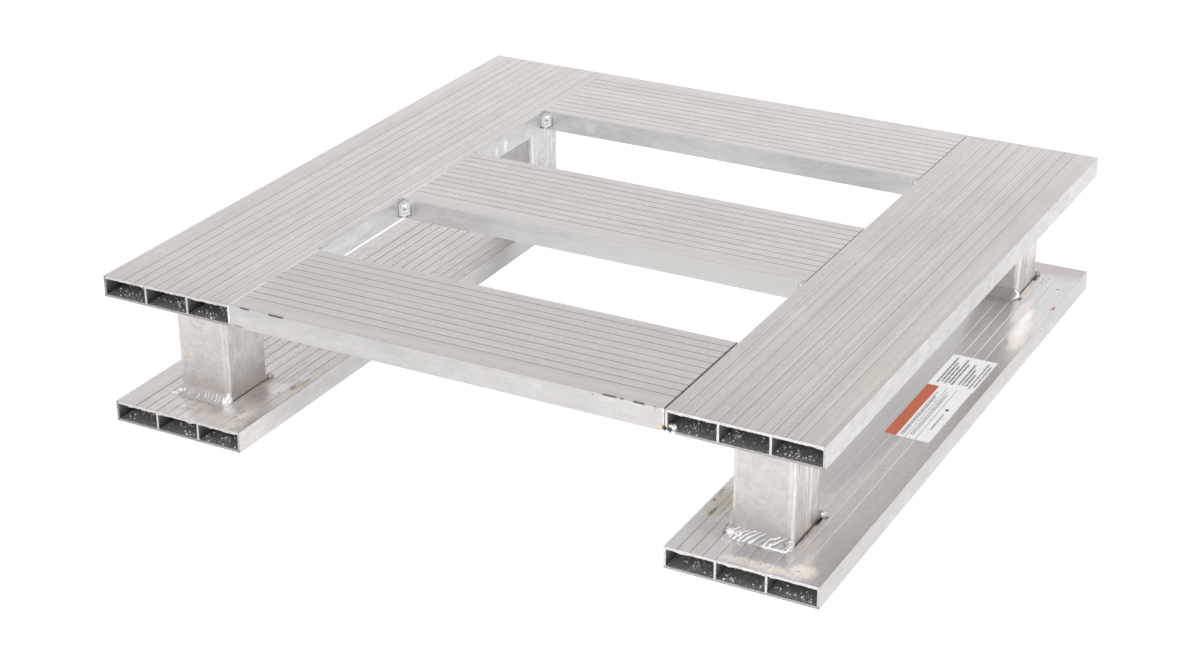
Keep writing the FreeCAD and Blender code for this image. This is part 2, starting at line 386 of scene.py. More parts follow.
def cut_face(name, base=(0.97, 0.955, 0.94), dull=0.0, spots=()):
    """Saw-cut end: bright, with fine upright saw lines and torn spots, duller along the bottom wall."""
    n = Net(name)
    lu, lw, lv = n.split(n.attr("loc"))
    pos = n.mm()
    saw = n.noise(n.vmul(pos, (1.7, 1.7, 0.35)), 1.0, 3, 0.7)
    tear = n.map(n.noise(n.vmul(pos, (0.55, 0.55, 0.8)), 1.0, 3, 0.7), 0.40, 0.62)
    level = n.add(0.84 - dull * 0.3, n.mul(saw, 0.26))
    level = n.mul(level, n.map(lv, 1.6, 3.4, 0.56, 1.0))
    level = n.mul(level, n.map(lu, 1.6, 3.0, 0.80 - dull * 1.4, 1.0))
    level = n.mul(level, n.map(lu, W - 3.0, W - 1.6, 1.0, 1.0 - dull))
    colour = n.scale_colour(n.mix(n.mul(tear, 0.75 + dull), base, (0.62, 0.60, 0.58)), level)
    for centre, radii, shade in spots:
        colour = n.mix(n.spot(pos, centre, radii, 0.5, saw, 0.6), colour, shade)
    return n.finish(colour, n.add(0.34, n.mul(saw, 0.18)), n.bump(saw, 0.7, 0.12))


def cell_skin(name, base=(0.52, 0.51, 0.505)):
    """Inside of the hollow cells: unlit, dull, with dust lying along the floor."""
    n = Net(name, metallic=0.5)
    loc = n.attr("loc")
    lu, lw, lv = n.split(loc)
    lines = n.noise(n.vmul(loc, (1.2, 0.05, 1.2)), 1.0, 3, 0.6)
    dust = n.map(n.noise(n.vmul(n.mm(), (0.42, 0.34, 0.42)), 1.0, 5, 0.8), 0.50, 0.68)
    fine = n.map(n.noise(n.vmul(n.mm(), (1.5, 1.2, 1.5)), 1.0, 3, 0.7), 0.55, 0.72)
    low = n.map(lv, WALL + 0.4, WALL + 0.1)
    px = n.split(n.mm())[0]
    level = n.mul(n.add(0.62, n.mul(lines, 0.5)), n.map(px, -200, 200, 0.92, 1.0))
    for x0, lo, hi, dim in ((-HALF + WALL, 0, -1, 0.84), (HALF - WALL - CELL, 0, 1, 0.74)):
        # painted shade on the cells' right-facing walls, where the light falls in through the mouths
        f = n.math("FRACT", n.add(n.mul(n.math("SUBTRACT", px, x0), 1 / (CELL + WEB)), 10.5))
        f = n.mul(n.math("ABSOLUTE", n.math("SUBTRACT", f, 0.5)), CELL + WEB)
        m = n.mul(n.map(f, 0.30, 0.12), n.map(px, lo, hi))
        level = n.mul(level, n.math("SUBTRACT", 1.0, n.mul(m, dim)))
    colour = n.scale_colour(base, level)
    colour = n.mix(n.mul(n.mul(dust, low), 0.85), colour, (0.95, 0.94, 0.93))
    colour = n.mix(n.mul(n.mul(fine, low), 0.80), colour, (0.97, 0.96, 0.95))
    colour = n.mix(n.map(lv, WALL + 0.5, T - WALL, 0.0, 0.45), colour, (0.80, 0.79, 0.78))
    return n.finish(colour, n.add(0.42, n.mul(dust, 0.3)), n.bump(n.add(lines, dust), 0.4, 0.06))


TOP_A, TOP_B = (0.765, 0.742, 0.722), (0.745, 0.708, 0.688)
RUN_A, RUN_B = (0.86, 0.845, 0.832), (0.83, 0.80, 0.785)
# SIDE_A and SIDE_B are a darker copy of the tops' aluminium for the planks' sides: painted shade
SIDE_A, SIDE_B = (0.66, 0.652, 0.640), (0.62, 0.610, 0.598)
CUT = cut_face("cut_end")
CUT_DULL = cut_face("cut_end_dull", (0.86, 0.845, 0.83), 0.25)
CELLS = cell_skin("cell_inside")

# near-black: dark marks on the runner, and painted shade in the holes where the seams' rounded edges meet
BLACK_MARK_AND_SHADE = (0.035, 0.030, 0.028)
Z_TOPDECK = Z_DECK + T
SPOTS = {
    "runner_right": [
        # painted shade on the runner's inner top, under the deck
        ((312, -20, Z_TOP), (36, 262, 5), (0.70, 0.70, 0.705), 0.95, 0.0, 0.35, 0.3, 0, (37.5, 150)),
        ((252, -338, Z_TOP), (26, 52, 5), (0.68, 0.645, 0.61), 0.6, 0.0, 0.85, 1.2),
        ((243, -284, Z_TOP), (22, 48, 5), (0.60, 0.555, 0.465), 0.85, 0.0, 0.85, 1.2),
        ((256, -328, Z_TOP), (16, 26, 5), (0.62, 0.60, 0.57), 0.8, 0.0, 0.8, 1.3),
        ((242, -304, Z_TOP), (3.0, 17, 5), (0.26, 0.23, 0.14), 0.95, 0.0, 0.85, 1.8, 1),
        ((250, -293, Z_TOP), (2.6, 17, 5), (0.36, 0.31, 0.21), 0.85, 0.0, 0.85, 1.8, 1),
        ((234, -268, Z_TOP), (2.0, 12, 5), (0.34, 0.31, 0.22), 0.85, 0.0, 0.85, 1.5, 1),
        ((230, -247, Z_TOP), (2.0, 12, 5), (0.40, 0.37, 0.29), 0.7, 0.0, 0.85, 1.5, 1),
        ((259, -302, Z_TOP), (4, 13, 5), (0.50, 0.46, 0.36), 0.6, 0.0, 0.85, 1.8, 1),
        ((240, -326, Z_TOP), (18, 20, 5), (0.64, 0.64, 0.61), 0.6, 0.0, 0.85, 1.4),
        ((234.6, -284, Z_TOP), (1.7, 3.6, 5), (0.13, 0.16, 0.09), 0.85, 0.1, 0.6, 0.8),
        ((266, -340, Z_TOP), (6, 9, 5), (0.50, 0.51, 0.48), 0.5, 0.0, 0.8, 1.4),
        ((299, -371, Z_TOP), (24, 9, 5), (1.0, 0.87, 0.76), 0.9, -0.75, 0.95, 0.8, 1),
        ((330, -371, Z_TOP), (30, 11, 5), (1.0, 0.865, 0.745), 0.9, -0.85, 0.95, 0.8, 1),
        ((357, -364, Z_TOP), (19, 19, 5), (1.0, 0.85, 0.715), 0.95, -0.9, 0.95, 0.8, 1),
        ((354, -342, Z_TOP), (9, 20, 5), (1.0, 0.93, 0.87), 0.7, -0.6, 0.9, 1.0, 1),
        ((344, -326, Z_TOP), (6, 13, 5), (0.86, 0.74, 0.64), 0.75, 0.0, 0.8, 1.0),
        ((349, -308, Z_TOP), (5, 18, 5), (1.0, 0.93, 0.88), 0.55, -0.3, 0.8, 1.2, 1),
        ((354, -365, Z_TOP), (1.9, 1.9, 5), (0.14, 0.13, 0.12), 0.95, 0.1, 0.6, 0.3),
        ((358.5, 226, Z_TOP), (8.5, 36, 5), (1.0, 0.985, 0.965), 1.0, -0.85, 0.5, 0.25, 0, (0, 24.7)),
        ((364, 197, Z_TOP), (12, 36, 5), (1.0, 0.965, 0.93), 1.0, -0.85, 0.6, 0.4, 0, (0, 24.7)),
        ((371, 165, Z_TOP), (11, 28, 5), (1.0, 0.88, 0.77), 0.95, -0.7, 0.8, 0.9, 1, (0, 24.7)),
        ((350, 245, Z_TOP), (9, 50, 5), (1.0, 0.93, 0.90), 0.85, -0.6, 0.6, 0.7, 0, (25, 37.5)),
        ((340, 290, Z_TOP), (6, 22, 5), (1.0, 0.92, 0.88), 0.7, -0.5, 0.6, 1.2, 1, (37.5, 50)),
        ((352, 377, Z_TOP), (58, 42, 5), (0.60, 0.54, 0.52), 0.95, 0.0, 0.7, 0.8),
        ((300, 374, Z_TOP), (62, 46, 5), (0.62, 0.565, 0.545), 0.8, 0.0, 0.7, 0.8),
        ((378.4, 267, Z_TOP - 0.4), (1.6, 6.5, 4), (0.50, 0.06, 0.09), 0.95, 0.1, 0.6, 0.8),
        ((377.0, 262, Z_TOP), (1.2, 3.0, 4), (0.62, 0.20, 0.24), 0.8, 0.1, 0.6, 0.8),
        ((367, 317.5, Z_TOP), (2.2, 3.0, 5), (0.22, 0.22, 0.20), 0.85, 0.0, 0.7, 0.4),
        ((345.0, 335, Z_TOP), (1.1, 1.7, 5), BLACK_MARK_AND_SHADE, 0.8, 0.1, 0.6, 0.3),
        ((346.3, 325.7, Z_TOP), (1.2, 1.9, 5), BLACK_MARK_AND_SHADE, 0.8, 0.1, 0.6, 0.3),
        ((349.2, 331.2, Z_TOP), (1.2, 1.7, 5), BLACK_MARK_AND_SHADE, 0.7, 0.1, 0.6, 0.3),
        ((349.6, 340.0, Z_TOP), (1.0, 1.5, 5), BLACK_MARK_AND_SHADE, 0.6, 0.1, 0.6, 0.3),
        ((341.0, 324.0, Z_TOP), (0.8, 1.5, 5), BLACK_MARK_AND_SHADE, 0.45, 0.1, 0.6, 0.3),
        # painted shadows beside the rear-right post's foot and round the right end of its front bead
        ((336.0, 332, Z_TOP), (2.6, 6, 5), (0.05, 0.05, 0.045), 0.9, 0.1, 0.6, 0.6),
        ((338.3, 273.5, Z_TOP), (1.9, 6.0, 5), (0.09, 0.085, 0.08), 0.95, 0.1, 0.5, 0.4),
        ((334.8, 266.4, Z_TOP), (3.6, 1.4, 5), (0.10, 0.095, 0.09), 0.9, 0.1, 0.5, 0.4),
        # painted shadow round the left end of the front-right post's front bead
        ((267.6, -335.0, Z_TOP), (1.4, 3.6, 5), (0.16, 0.15, 0.145), 0.85, 0.1, 0.7, 0.05),
        ((265.8, -329.0, Z_TOP), (1.1, 5.6, 5), (0.16, 0.15, 0.145), 0.85, 0.1, 0.7, 0.05),
        ((264.8, -321.0, Z_TOP), (1.1, 6.0, 5), (0.18, 0.17, 0.16), 0.85, 0.1, 0.7, 0.05),
        # painted shadow in the gap beside the front-right post's foot, under the end of its rear bead
        ((335.6, -277, Z_TOP), (2.4, 11, 5), (0.05, 0.045, 0.04), 0.95, 0.1, 0.6, 0.7),
        ((339.2, -268, Z_TOP), (1.9, 6, 5), (0.10, 0.095, 0.09), 0.85, 0.1, 0.7, 0.8),
        ((335.8, -306, Z_TOP), (2.8, 22, 5), (0.30, 0.25, 0.18), 0.8, 0.1, 0.7, 1.4, 1),
    ],
    "side_right": [
        ((376, -262, Z_TOPDECK), (7, 16, 6), (0.72, 0.64, 0.54), 0.55, 0.0),
        ((368, -232, Z_TOPDECK), (13, 40, 6), (0.72, 0.655, 0.57), 0.45, 0.0),
    ],
    "side_left": [
        # painted shade in the small holes where the seams' rounded edges meet
        ((-231.6, -226.5, Z_TOPDECK - 0.6), (1.8, 2.6, 3), BLACK_MARK_AND_SHADE, 0.95, 0.1, 0.6, 0.4),
        ((-231.4, 77.6, Z_TOPDECK - 0.6), (1.7, 2.6, 3), BLACK_MARK_AND_SHADE, 0.9, 0.1, 0.6, 0.4),
        ((-231.2, 366, Z_TOPDECK - 0.6), (1.0, 24, 3), (0.18, 0.17, 0.16), 0.7, 0.1, 0.6, 0.6),
        # painted shade in the same kind of hole at the front corners of the middle and rear planks
        ((-231.4, -80.0, Z_TOPDECK - 0.6), (1.6, 5.0, 3), (0.07, 0.06, 0.06), 0.85, 0.1, 0.6, 0.6),
        ((-231.4, 225.6, Z_TOPDECK - 0.6), (1.8, 5.0, 3), (0.07, 0.06, 0.06), 0.85, 0.1, 0.6, 0.6),
    ],
    "cross_front": [
        # painted shade in the small hole where the seam's rounded edges meet
        ((-229.6, -229.8, Z_TOPDECK - 0.5), (1.6, 2.0, 3), BLACK_MARK_AND_SHADE, 0.9, 0.1, 0.6, 0.4),
    ],
    "side_left_side": [
        # painted shade along the toes of the corner welds
        ((-230.6, -84.6, Z_DECK + 10), (2, 1.0, 12), (0.20, 0.19, 0.18), 0.85, 0.0, 0.6, 0.5),
        ((-230.6, 221.2, Z_DECK + 10), (2, 1.0, 12), (0.20, 0.19, 0.18), 0.85, 0.0, 0.6, 0.5),
        ((-230.6, 139, Z_DECK + 10), (2, 7, 10), (0.93, 0.94, 0.96), 0.8, 0.0, 0.8, 1.2),
        ((-230.6, 120, Z_DECK + 9), (2, 4, 8), (0.88, 0.90, 0.93), 0.6, 0.0, 0.8, 1.4),
    ],
    "cross_middle_side": [
        ((140, -75, Z_DECK + 11), (210, 5, 40), (0.645, 0.63, 0.61), 0.75, 0.0, 0.6, 0.6),
        # painted shade along the toes of the corner welds
        ((-220.9, -75, Z_DECK + 10), (0.9, 3, 12), (0.22, 0.21, 0.20), 0.7, 0.0, 0.6, 0.5),
        ((-216, -75, Z_DECK + 11), (7, 3, 13), (0.62, 0.60, 0.58), 0.5, 0.0, 0.8, 0.8),
    ],
    "cross_rear_side": [
        # painted shade along the toes of the corner welds
        ((-220.9, 230.6, Z_DECK + 10), (0.9, 3, 12), (0.22, 0.21, 0.20), 0.7, 0.0, 0.6, 0.5),
        ((-172, 230.6, Z_DECK + 10), (12, 3, 9), (0.98, 0.98, 1.0), 0.6, 0.0, 0.9, 1.5),
        ((-190, 230.6, Z_DECK + 12), (8, 3, 9), (0.92, 0.93, 0.95), 0.5, 0.0, 0.9, 1.5),
    ],
    "cross_front_side": [
        ((-217, -381, Z_DECK + 12), (11, 5, 9), (0.98, 0.98, 0.97), 0.12, 0.0, 0.9, 1.5),
        ((226.6, -381, Z_DECK + 3.9), (7.5, 5, 4.4), (0.84, 0.70, 0.58), 0.8, 0.0, 0.8, 1.4),
        ((229.0, -381, Z_DECK + 3.6), (2.6, 4, 3.8), (0.42, 0.24, 0.13), 0.8, 0.0, 0.8, 0.8),
        ((230.1, -381, Z_DECK + 3.9), (1.5, 4, 3.0), (0.02, 0.014, 0.01), 1.0, 0.1, 0.5, 0.5),
        ((228.9, -381, Z_DECK + 11.3), (1.3, 4, 5.6), (0.93, 0.89, 0.77), 0.8, 0.0, 0.6, 0.5),
        ((229.0, -381, Z_DECK + 20.4), (2.4, 4, 3.0), (1.0, 1.0, 1.0), 0.95, -0.6, 0.6, 0.5),
        ((228.6, -381, Z_DECK + 0.6), (3.2, 4, 1.0), (1.0, 1.0, 1.0), 0.9, -0.6, 0.6, 0.5),
        ((-222, -381, Z_DECK + 2.0), (10, 5, 1.7), (0.36, 0.30, 0.27), 0.7, 0.0, 0.7, 1.5),
        ((159.7, -381, Z_TOPDECK - 2.6), (0.9, 4, 0.8), (0.10, 0.09, 0.085), 0.9, 0.0, 0.6, 0.5),
        ((221, -381, Z_TOPDECK - 3.0), (1.3, 4, 0.8), (0.20, 0.19, 0.18), 0.75, 0.0, 0.6, 0.5),
        ((72, -381, Z_TOPDECK - 8.0), (1.4, 4, 0.7), (0.30, 0.29, 0.28), 0.6, 0.0, 0.6, 0.5),
        ((-137, -381, Z_TOPDECK - 5.0), (1.6, 4, 0.9), (0.34, 0.33, 0.32), 0.55, 0.0, 0.6, 0.5),
        ((-108, -381, Z_TOPDECK - 4.2), (2.2, 4, 0.6), (0.30, 0.29, 0.28), 0.6, 0.0, 0.6, 0.5),
    ],
    "cross_middle": [
        # painted shade in the small hole where the seam's rounded edges meet
        ((-229.8, 76.0, Z_TOPDECK - 0.5), (1.5, 1.9, 3), BLACK_MARK_AND_SHADE, 0.85, 0.1, 0.6, 0.4),
    ],
    "runner_left": [
        ((-237.6, -265, Z_TOP), (7.4, 20, 5), (0.60, 0.465, 0.325), 0.72, 0.0, 0.85, 1.1),
        ((-240.5, -274, Z_TOP), (3.0, 9, 5), (0.20, 0.14, 0.085), 0.9, 0.0, 0.6, 1.2, 1),
        ((-236.6, -258, Z_TOP), (1.3, 12, 5), (0.22, 0.155, 0.09), 0.8, 0.0, 0.6, 1.0, 1),
        ((-243.0, -250, Z_TOP), (5, 11, 5), (0.82, 0.85, 0.87), 0.7, 0.0, 0.5, 1.0),
        ((-247.0, -352, Z_TOP), (14, 30, 5), (1.0, 0.97, 0.94), 0.7, -0.5, 0.5, 1.2, 1),
        ((-266.0, -350, Z_TOP), (9, 13, 5), (1.0, 0.98, 0.96), 0.7, -0.4, 0.5, 1.2, 1),
        ((-262.0, -338, Z_TOP), (4, 5, 5), (0.46, 0.46, 0.46), 0.6, 0.0, 0.7, 1.2),
        ((-262.0, -306, Z_TOP), (14, 30, 5), (0.52, 0.50, 0.49), 0.45, 0.0, 0.6, 1.0),
        ((-252.0, -284, Z_TOP), (10, 16, 5), (0.90, 0.90, 0.89), 0.7, 0.0, 0.4, 0.8),
        ((-247.0, -292, Z_TOP), (2.0, 3, 5), (0.22, 0.20, 0.19), 0.7, 0.0, 0.7, 1.0),
        ((-262.5, -266, Z_TOP), (7, 14, 5), (0.40, 0.37, 0.35), 0.6, 0.0, 0.7, 1.6, 1),
        ((-250.6, -252, Z_TOP), (1.4, 36, 5), (0.26, 0.24, 0.23), 0.6, 0.0, 0.7, 1.2, 1),
        ((-262.6, -236, Z_TOP), (1.4, 30, 5), (0.32, 0.28, 0.27), 0.5, 0.0, 0.7, 1.2, 1),
        ((-340, -350, Z_TOP), (16, 20, 5), (0.86, 0.78, 0.76), 0.5, 0.0, 0.7, 1.2),
    ],
}


# ------------------------------------------------------------------ plank section
def outer_ring():
    """(u, v) points of the outside, counter-clockwise, and for each whether it lies on the grooved face."""
    pts = []

    def turn(cx, cy, r, a0, n=4):
        for i in range(n + 1):
            a = math.radians(a0 + 90 * i / n)
            pts.append((cx + r * math.cos(a), cy + r * math.sin(a)))

    # the extra points 0.3 mm beside each groove and edge keep the flats between them flat when shaded smooth
    r, e = EDGE_R, EDGE_R + 0.3
    turn(W - r, r, r, -90)
    for v in np.linspace(e, T - e, 6):
        pts.append((W, v))
    turn(W - r, T - r, r, 0)
    pts.append((W - e, T))
    cut = [(0.95, 0.0), (0.68, 0.0), (0.58, 0.03), (0.46, 0.12), (0.13, 0.45), (0.0, 0.50), (-0.13, 0.45),
           (-0.46, 0.12), (-0.58, 0.03), (-0.68, 0.0), (-0.95, 0.0)]
    edge = W - e
    for i in reversed(range(10)):
        c = 25.0 + 12.5 * i
        k = 2 if edge - c < 14 else 1
        for j in range(1, k + 1):
            pts.append((edge + (c + 0.95 - edge) * j / (k + 1), T))
        for du, dv in cut:
            pts.append((c + du, T - dv))
        edge = c - 0.95
    for j in (1, 2, 3):
        pts.append((edge + (e - edge) * j / 4, T))
    pts.append((2.0, T))
    pts.append((e, T))
    turn(r, T - r, r, 90)
    for v in (T - e, T - 2.0, *np.linspace(T - 5.5, e, 5)):
        pts.append((0, v))
    turn(r, r, r, 180)
    for u in np.linspace(e, W - e, 15):
        pts.append((u, 0))
    return pts


def cell_ring(i, step=1.0):
    """(u, v) points round one cell, counter-clockwise, with a code for the side: 0 floor, 1 right, 2 roof, 3 left."""
    u0, v0 = WALL + i * (CELL + WEB), WALL
    u1, v1 = u0 + CELL, T - WALL
    r = CELL_R
    pts = []

    def turn(cx, cy, a0, code):
        for k in range(4):
            a = math.radians(a0 + 30 * k)
            pts.append((cx + r * math.cos(a), cy + r * math.sin(a), code))

    nu, nv = int((CELL - 2 * r) / step), int((v1 - v0 - 2 * r) / step)
    turn(u0 + r, v0 + r, 180, 3)
    for k in range(1, nu):
        pts.append((u0 + r + (CELL - 2 * r) * k / nu, v0, 0))
    turn(u1 - r, v0 + r, 270, 0)
    for k in range(1, nv):
        pts.append((u1, v0 + r + (v1 - v0 - 2 * r) * k / nv, 1))
    turn(u1 - r, v1 - r, 0, 1)
    for k in range(1, nu):
        pts.append((u1 - r - (CELL - 2 * r) * k / nu, v1, 2))
    turn(u0 + r, v1 - r, 90, 2)
    for k in range(1, nv):
        pts.append((u0, v1 - r - (v1 - v0 - 2 * r) * k / nv, 3))
    return pts


OUTER = outer_ring()
CELLS_2D = [cell_ring(i) for i in range(3)]


def wave(x, seed, scale):
    """Smooth noise of one number, about -1 to 1."""
    return noise.noise(Vector((x / scale, seed * 7.31, seed * 1.7)))


def burr(u, v, code, end_seed, torn):
    """How far the torn rim of a cell's mouth stands into the cell at this point, millimetres."""
    s = u * 1.0 + v * 0.7 + code * 31.0
    if code == 2:
        a = 0.30 + 0.7 * max(0.0, wave(s, end_seed, 2.9)) + 1.5 * max(0.0, wave(s, end_seed + 5, 9.0) - 0.08)
        a += 0.9 * max(0.0, wave(s, end_seed + 9, 1.3) - 0.22) * (1 if wave(s, end_seed + 12, 13.0) > -0.1 else 0.2)
        return torn * a
    if code == 0:
        return -0.16 + torn * 0.55 * max(0.0, wave(s, end_seed + 2, 2.0))
    return -0.20 + torn * 0.45 * max(0.0, wave(s, end_seed + 3, 1.6))


def plank(name, node, along, wide, to, start, length, z, mats, seed, torn=1.0, nicks=()):
    """One hollow plank. along is "x" or "y"; wide is its wide-margin edge on the other axis and to the way it
    extends from there; start is its low end. nicks are (from, to, depth) along its wide-margin top edge."""
    sh = Shape()
    if along == "y":
        def place(u, v, w):
            return (wide + to * u, start + w, z + v)
    else:
        def place(u, v, w):
            return (start + w, wide + to * u, z + v)
    near = [0.0, 0.3, 0.8, 1.6, 3.5, 10.0]
    stations = near + [length - s for s in reversed(near)]
    k = 14
    stations += [10 + (length - 20) * i / k for i in range(1, k)]
    for a, b, _ in nicks:
        stations += list(np.arange(a - 1.5, b + 1.5, 0.8))
    stations = sorted(set(round(s, 3) for s in stations))

    def edge_in(u, v, w):
        """Moves an outer point: chipped edge at the two ends, nicks along the wide-margin top edge. The third value it
        gives is the painted shade in the nicks.
        """
        du = dv = 0.0
        shade_wear = 0.0
        d = min(w, length - w)
        if d < 0.5:
            e = 0.10 + 0.16 * max(0.0, wave(u + v * 1.3, seed + (3 if w < 5 else 8), 1.7))
            e *= (1 - d / 0.5) * torn
            du += e * (1 if u < 0.01 else -1 if u > W - 0.01 else 0)
            dv += e * (1 if v < 0.01 else -1 if v > T - 1.0 else 0)
        for a, b, depth in nicks:
            if a - 1.2 < w < b + 1.2:
                f = min(1.0, max(0.0, (w - a + 1.2) / 2.2), max(0.0, (b + 1.2 - w) / 2.2))
                f *= 0.88 + 0.22 * wave(w, seed + a, 3.1)
                lip = math.hypot(max(0.0, u), max(0.0, T - v))
                g = max(0.0, 1 - lip / (depth * 1.7))
                if u < depth * 2.0 and v > T - depth * 2.0:
                    du += depth * 0.75 * f * g
                    dv -= depth * 0.75 * f * g
                    shade_wear = max(shade_wear, min(1.0, f * g * 1.8))
        return u + du, v + dv, shade_wear

    rings = []
    for w in stations:
        ring = []
        for u, v in OUTER:
            uu, vv, shade_wear = edge_in(u, v, w)
            ring.append(sh.point(place(uu, vv, w), (u, w, v), shade_wear))
        rings.append(ring)
    n = len(OUTER)
    for a, b in zip(rings, rings[1:]):
        for i in range(n):
            j = (i + 1) % n
            u = (OUTER[i][0] + OUTER[j][0]) / 2
            side = u < 0.9 or u > W - 0.9
            sh.face(a[i], a[j], b[j], b[i], mat=1 if side else 0)
    mouths = []
    for c, pts in enumerate(CELLS_2D):
        m = len(pts)
        rows = []
        for w in stations:
            d = min(w, length - w)
            es = seed * 3 + c * 11 + (0 if w < length / 2 else 57)
            grow = max(0.0, 1 - d / 1.6) ** 0.8 if d < 1.6 else 0.0
            short = max(0.0, 1 - d / 0.8)
            row = []
            for u, v, code in pts:
                k2 = burr(u, v, code, es, torn) * (grow if code == 2 else short)
                uu, vv = u, v
                if code == 2:
                    vv -= k2
                elif code == 0:
                    vv += k2
                elif code == 1:
                    uu -= k2
                else:
                    uu += k2
                row.append(sh.point(place(uu, vv, w), (u, w, v), 0.0))
            rows.append(row)
        for (wa, a), (wb, b) in zip(zip(stations, rows), list(zip(stations, rows))[1:]):
            lip = wb <= 0.85 or wa >= length - 0.85
            for i in range(m):
                j = (i + 1) % m
                sh.face(a[j], a[i], b[i], b[j], mat=2 if lip and pts[i][2] == 2 else 3)
        mouths.append((rows[0], rows[-1]))
    for e, ring in ((0, rings[0]), (1, rings[-1])):
        loops = [ring] + [mouths[c][e] for c in range(3)]
        flat = []
        for lp in loops:
            co = []
            for i in lp:
                x, y, zz = sh.v[i]
                co.append(Vector(((x if along == "y" else y), zz, 0)))
            flat.append(co)
        ids = [i for lp in loops for i in lp]
        for tri in geometry.tessellate_polygon(flat):
            sh.face(*[ids[i] for i in tri], mat=2)
    return sh.build(name, mats, (node,), sharp=48)


def plank_mats(tag, seed, top=(TOP_A, TOP_B), side=(SIDE_A, SIDE_B), rough=0.36, spots=None, side_spots=None,
               side_mottle=0.06, fades=(), side_fades=(), cut=CUT, side_patchy=(0.22, 0.15), side_rough=None, **more):
    return [plank_skin("skin_top_" + tag, top[0], top[1], rough, seed, spots, fades=fades, **more),
            plank_skin("skin_side_" + tag, side[0], side[1], side_rough or rough, seed + 0.5, side_spots, 1.1,
                       fleck=0.04, bright_edge=more.get("bright_edge", ()), mottle=side_mottle, patchy=side_patchy,
                       fades=side_fades, rim=more.get("rim", 0.0)), cut, CELLS]


SEAM_GLINT = ((-4, 64, 1.0), (60, 96, 0.25), (90, 152, 1.0), (306, 398, 1.0), (392, 450, 0.2), (612, 700, 0.25))
COOL_A, COOL_B = (0.700, 0.702, 0.712), (0.665, 0.665, 0.672)
CUT_RIGHT = cut_face("cut_end_right", spots=(
    ((238.4, -HALF, Z_DECK + 1.2), (2.4, 3, 2.6), (1.0, 1.0, 1.0)),
    ((232.2, -HALF, Z_DECK + 0.9), (3.2, 3, 1.1), (1.0, 1.0, 1.0)),
    ((231.4, -HALF, Z_DECK + 3.7), (1.5, 3, 2.2), (0.03, 0.025, 0.02)),
    ((235.6, -HALF, Z_DECK + 2.0), (1.7, 3, 1.2), (0.04, 0.035, 0.03))))
CUT_LEFT = cut_face("cut_end_left", (0.86, 0.845, 0.83), 0.25, spots=(
    ((-INNER - 1.3, -HALF, Z_DECK + 12), (1.7, 3, 14), (1.0, 1.0, 1.0)),))
plank("plank_side_left", "deck_side_left", "y", -HALF, 1, -HALF, 2 * HALF, Z_DECK,
      plank_mats("a", 1, ((0.745, 0.722, 0.702), (0.73, 0.69, 0.67)), ((0.655, 0.66, 0.678), (0.63, 0.632, 0.645)),
                 spots=SPOTS["side_left"], side_spots=SPOTS["side_left_side"], bright_edge=SEAM_GLINT, groove=0.42,
                 mottle=0.035, cut=CUT_LEFT, side_mottle=0.10, side_patchy=(0.12, 0.045), die=0.044, lit_wall=-1,
                 lip=0.14, fades=((0, 75, 0.93, 1.0), (500, 740, 1.0, 1.03))), 1, torn=1.1)
plank("plank_side_right", "deck_side_right", "y", HALF, -1, -HALF, 2 * HALF, Z_DECK,
      plank_mats("b", 2, ((0.695, 0.673, 0.655), (0.675, 0.642, 0.623)), ((0.71, 0.70, 0.69), (0.67, 0.665, 0.66)),
                 spots=SPOTS["side_right"], groove=0.38, mottle=0.035, lip=0.13, side_mottle=0.11,
                 side_patchy=(0.10, 0.040), die=0.060, lit_wall=1, cut=CUT_RIGHT,
                 fades=((0, 90, 0.96, 1.0), (580, 740, 1.0, 1.06)),
                 side_fades=((0, 60, 1.08, 1.0), (200, 320, 1.0, 0.94), (400, 500, 1.0, 1.08))), 2)
plank("plank_cross_front", "deck_cross_front", "x", -HALF, 1, -INNER, CROSS, Z_DECK,
      plank_mats("c", 3, ((0.70, 0.678, 0.655), (0.69, 0.658, 0.634)), spots=SPOTS["cross_front"],
                 # the first fade darkens the top beside the right seam: painted shade in the seam
                 side_spots=SPOTS["cross_front_side"], groove=0.20, fades=((458.9, 459.7, 1.0, 0.25),), side_fades=((150, 420, 1.0, 1.12),),
                 side_mottle=0.05, side_patchy=(0.12, 0.045), die=0.022, rim=0.55), 3,
      nicks=((12.6, 22.6, 0.68), (45, 61.5, 0.78), (400.1, 413.5, 0.72), (417.6, 420.5, 0.6), (430.3, 441.3, 0.78),
             (451.0, 452.4, 0.6)))
plank("plank_cross_middle", "deck_cross_middle", "x", -W / 2, 1, -INNER, CROSS, Z_DECK,
      plank_mats("d", 4, ((0.745, 0.722, 0.702), (0.73, 0.69, 0.67)), side=(COOL_A, COOL_B),
                 spots=SPOTS["cross_middle"], side_spots=SPOTS["cross_middle_side"], groove=0.22,
                 side_fades=((40, 190, 1.24, 0.95),), side_mottle=0.05, side_patchy=(0.12, 0.045), die=0.022,
                 lip=0.07, rim=0.75), 4)
plank("plank_cross_rear", "deck_cross_rear", "x", HALF, -1, -INNER, CROSS, Z_DECK,
      plank_mats("e", 5, side=(COOL_A, COOL_B), side_spots=SPOTS["cross_rear_side"], groove=0.22,
                 side_fades=((60, 330, 1.16, 0.81), (300, 400, 1.0, 0.92), (400, 455, 1.0, 1.22)),
                 side_patchy=(0.12, 0.045), side_mottle=0.07, die=0.024, lip=0.09, rim=-0.75), 5)
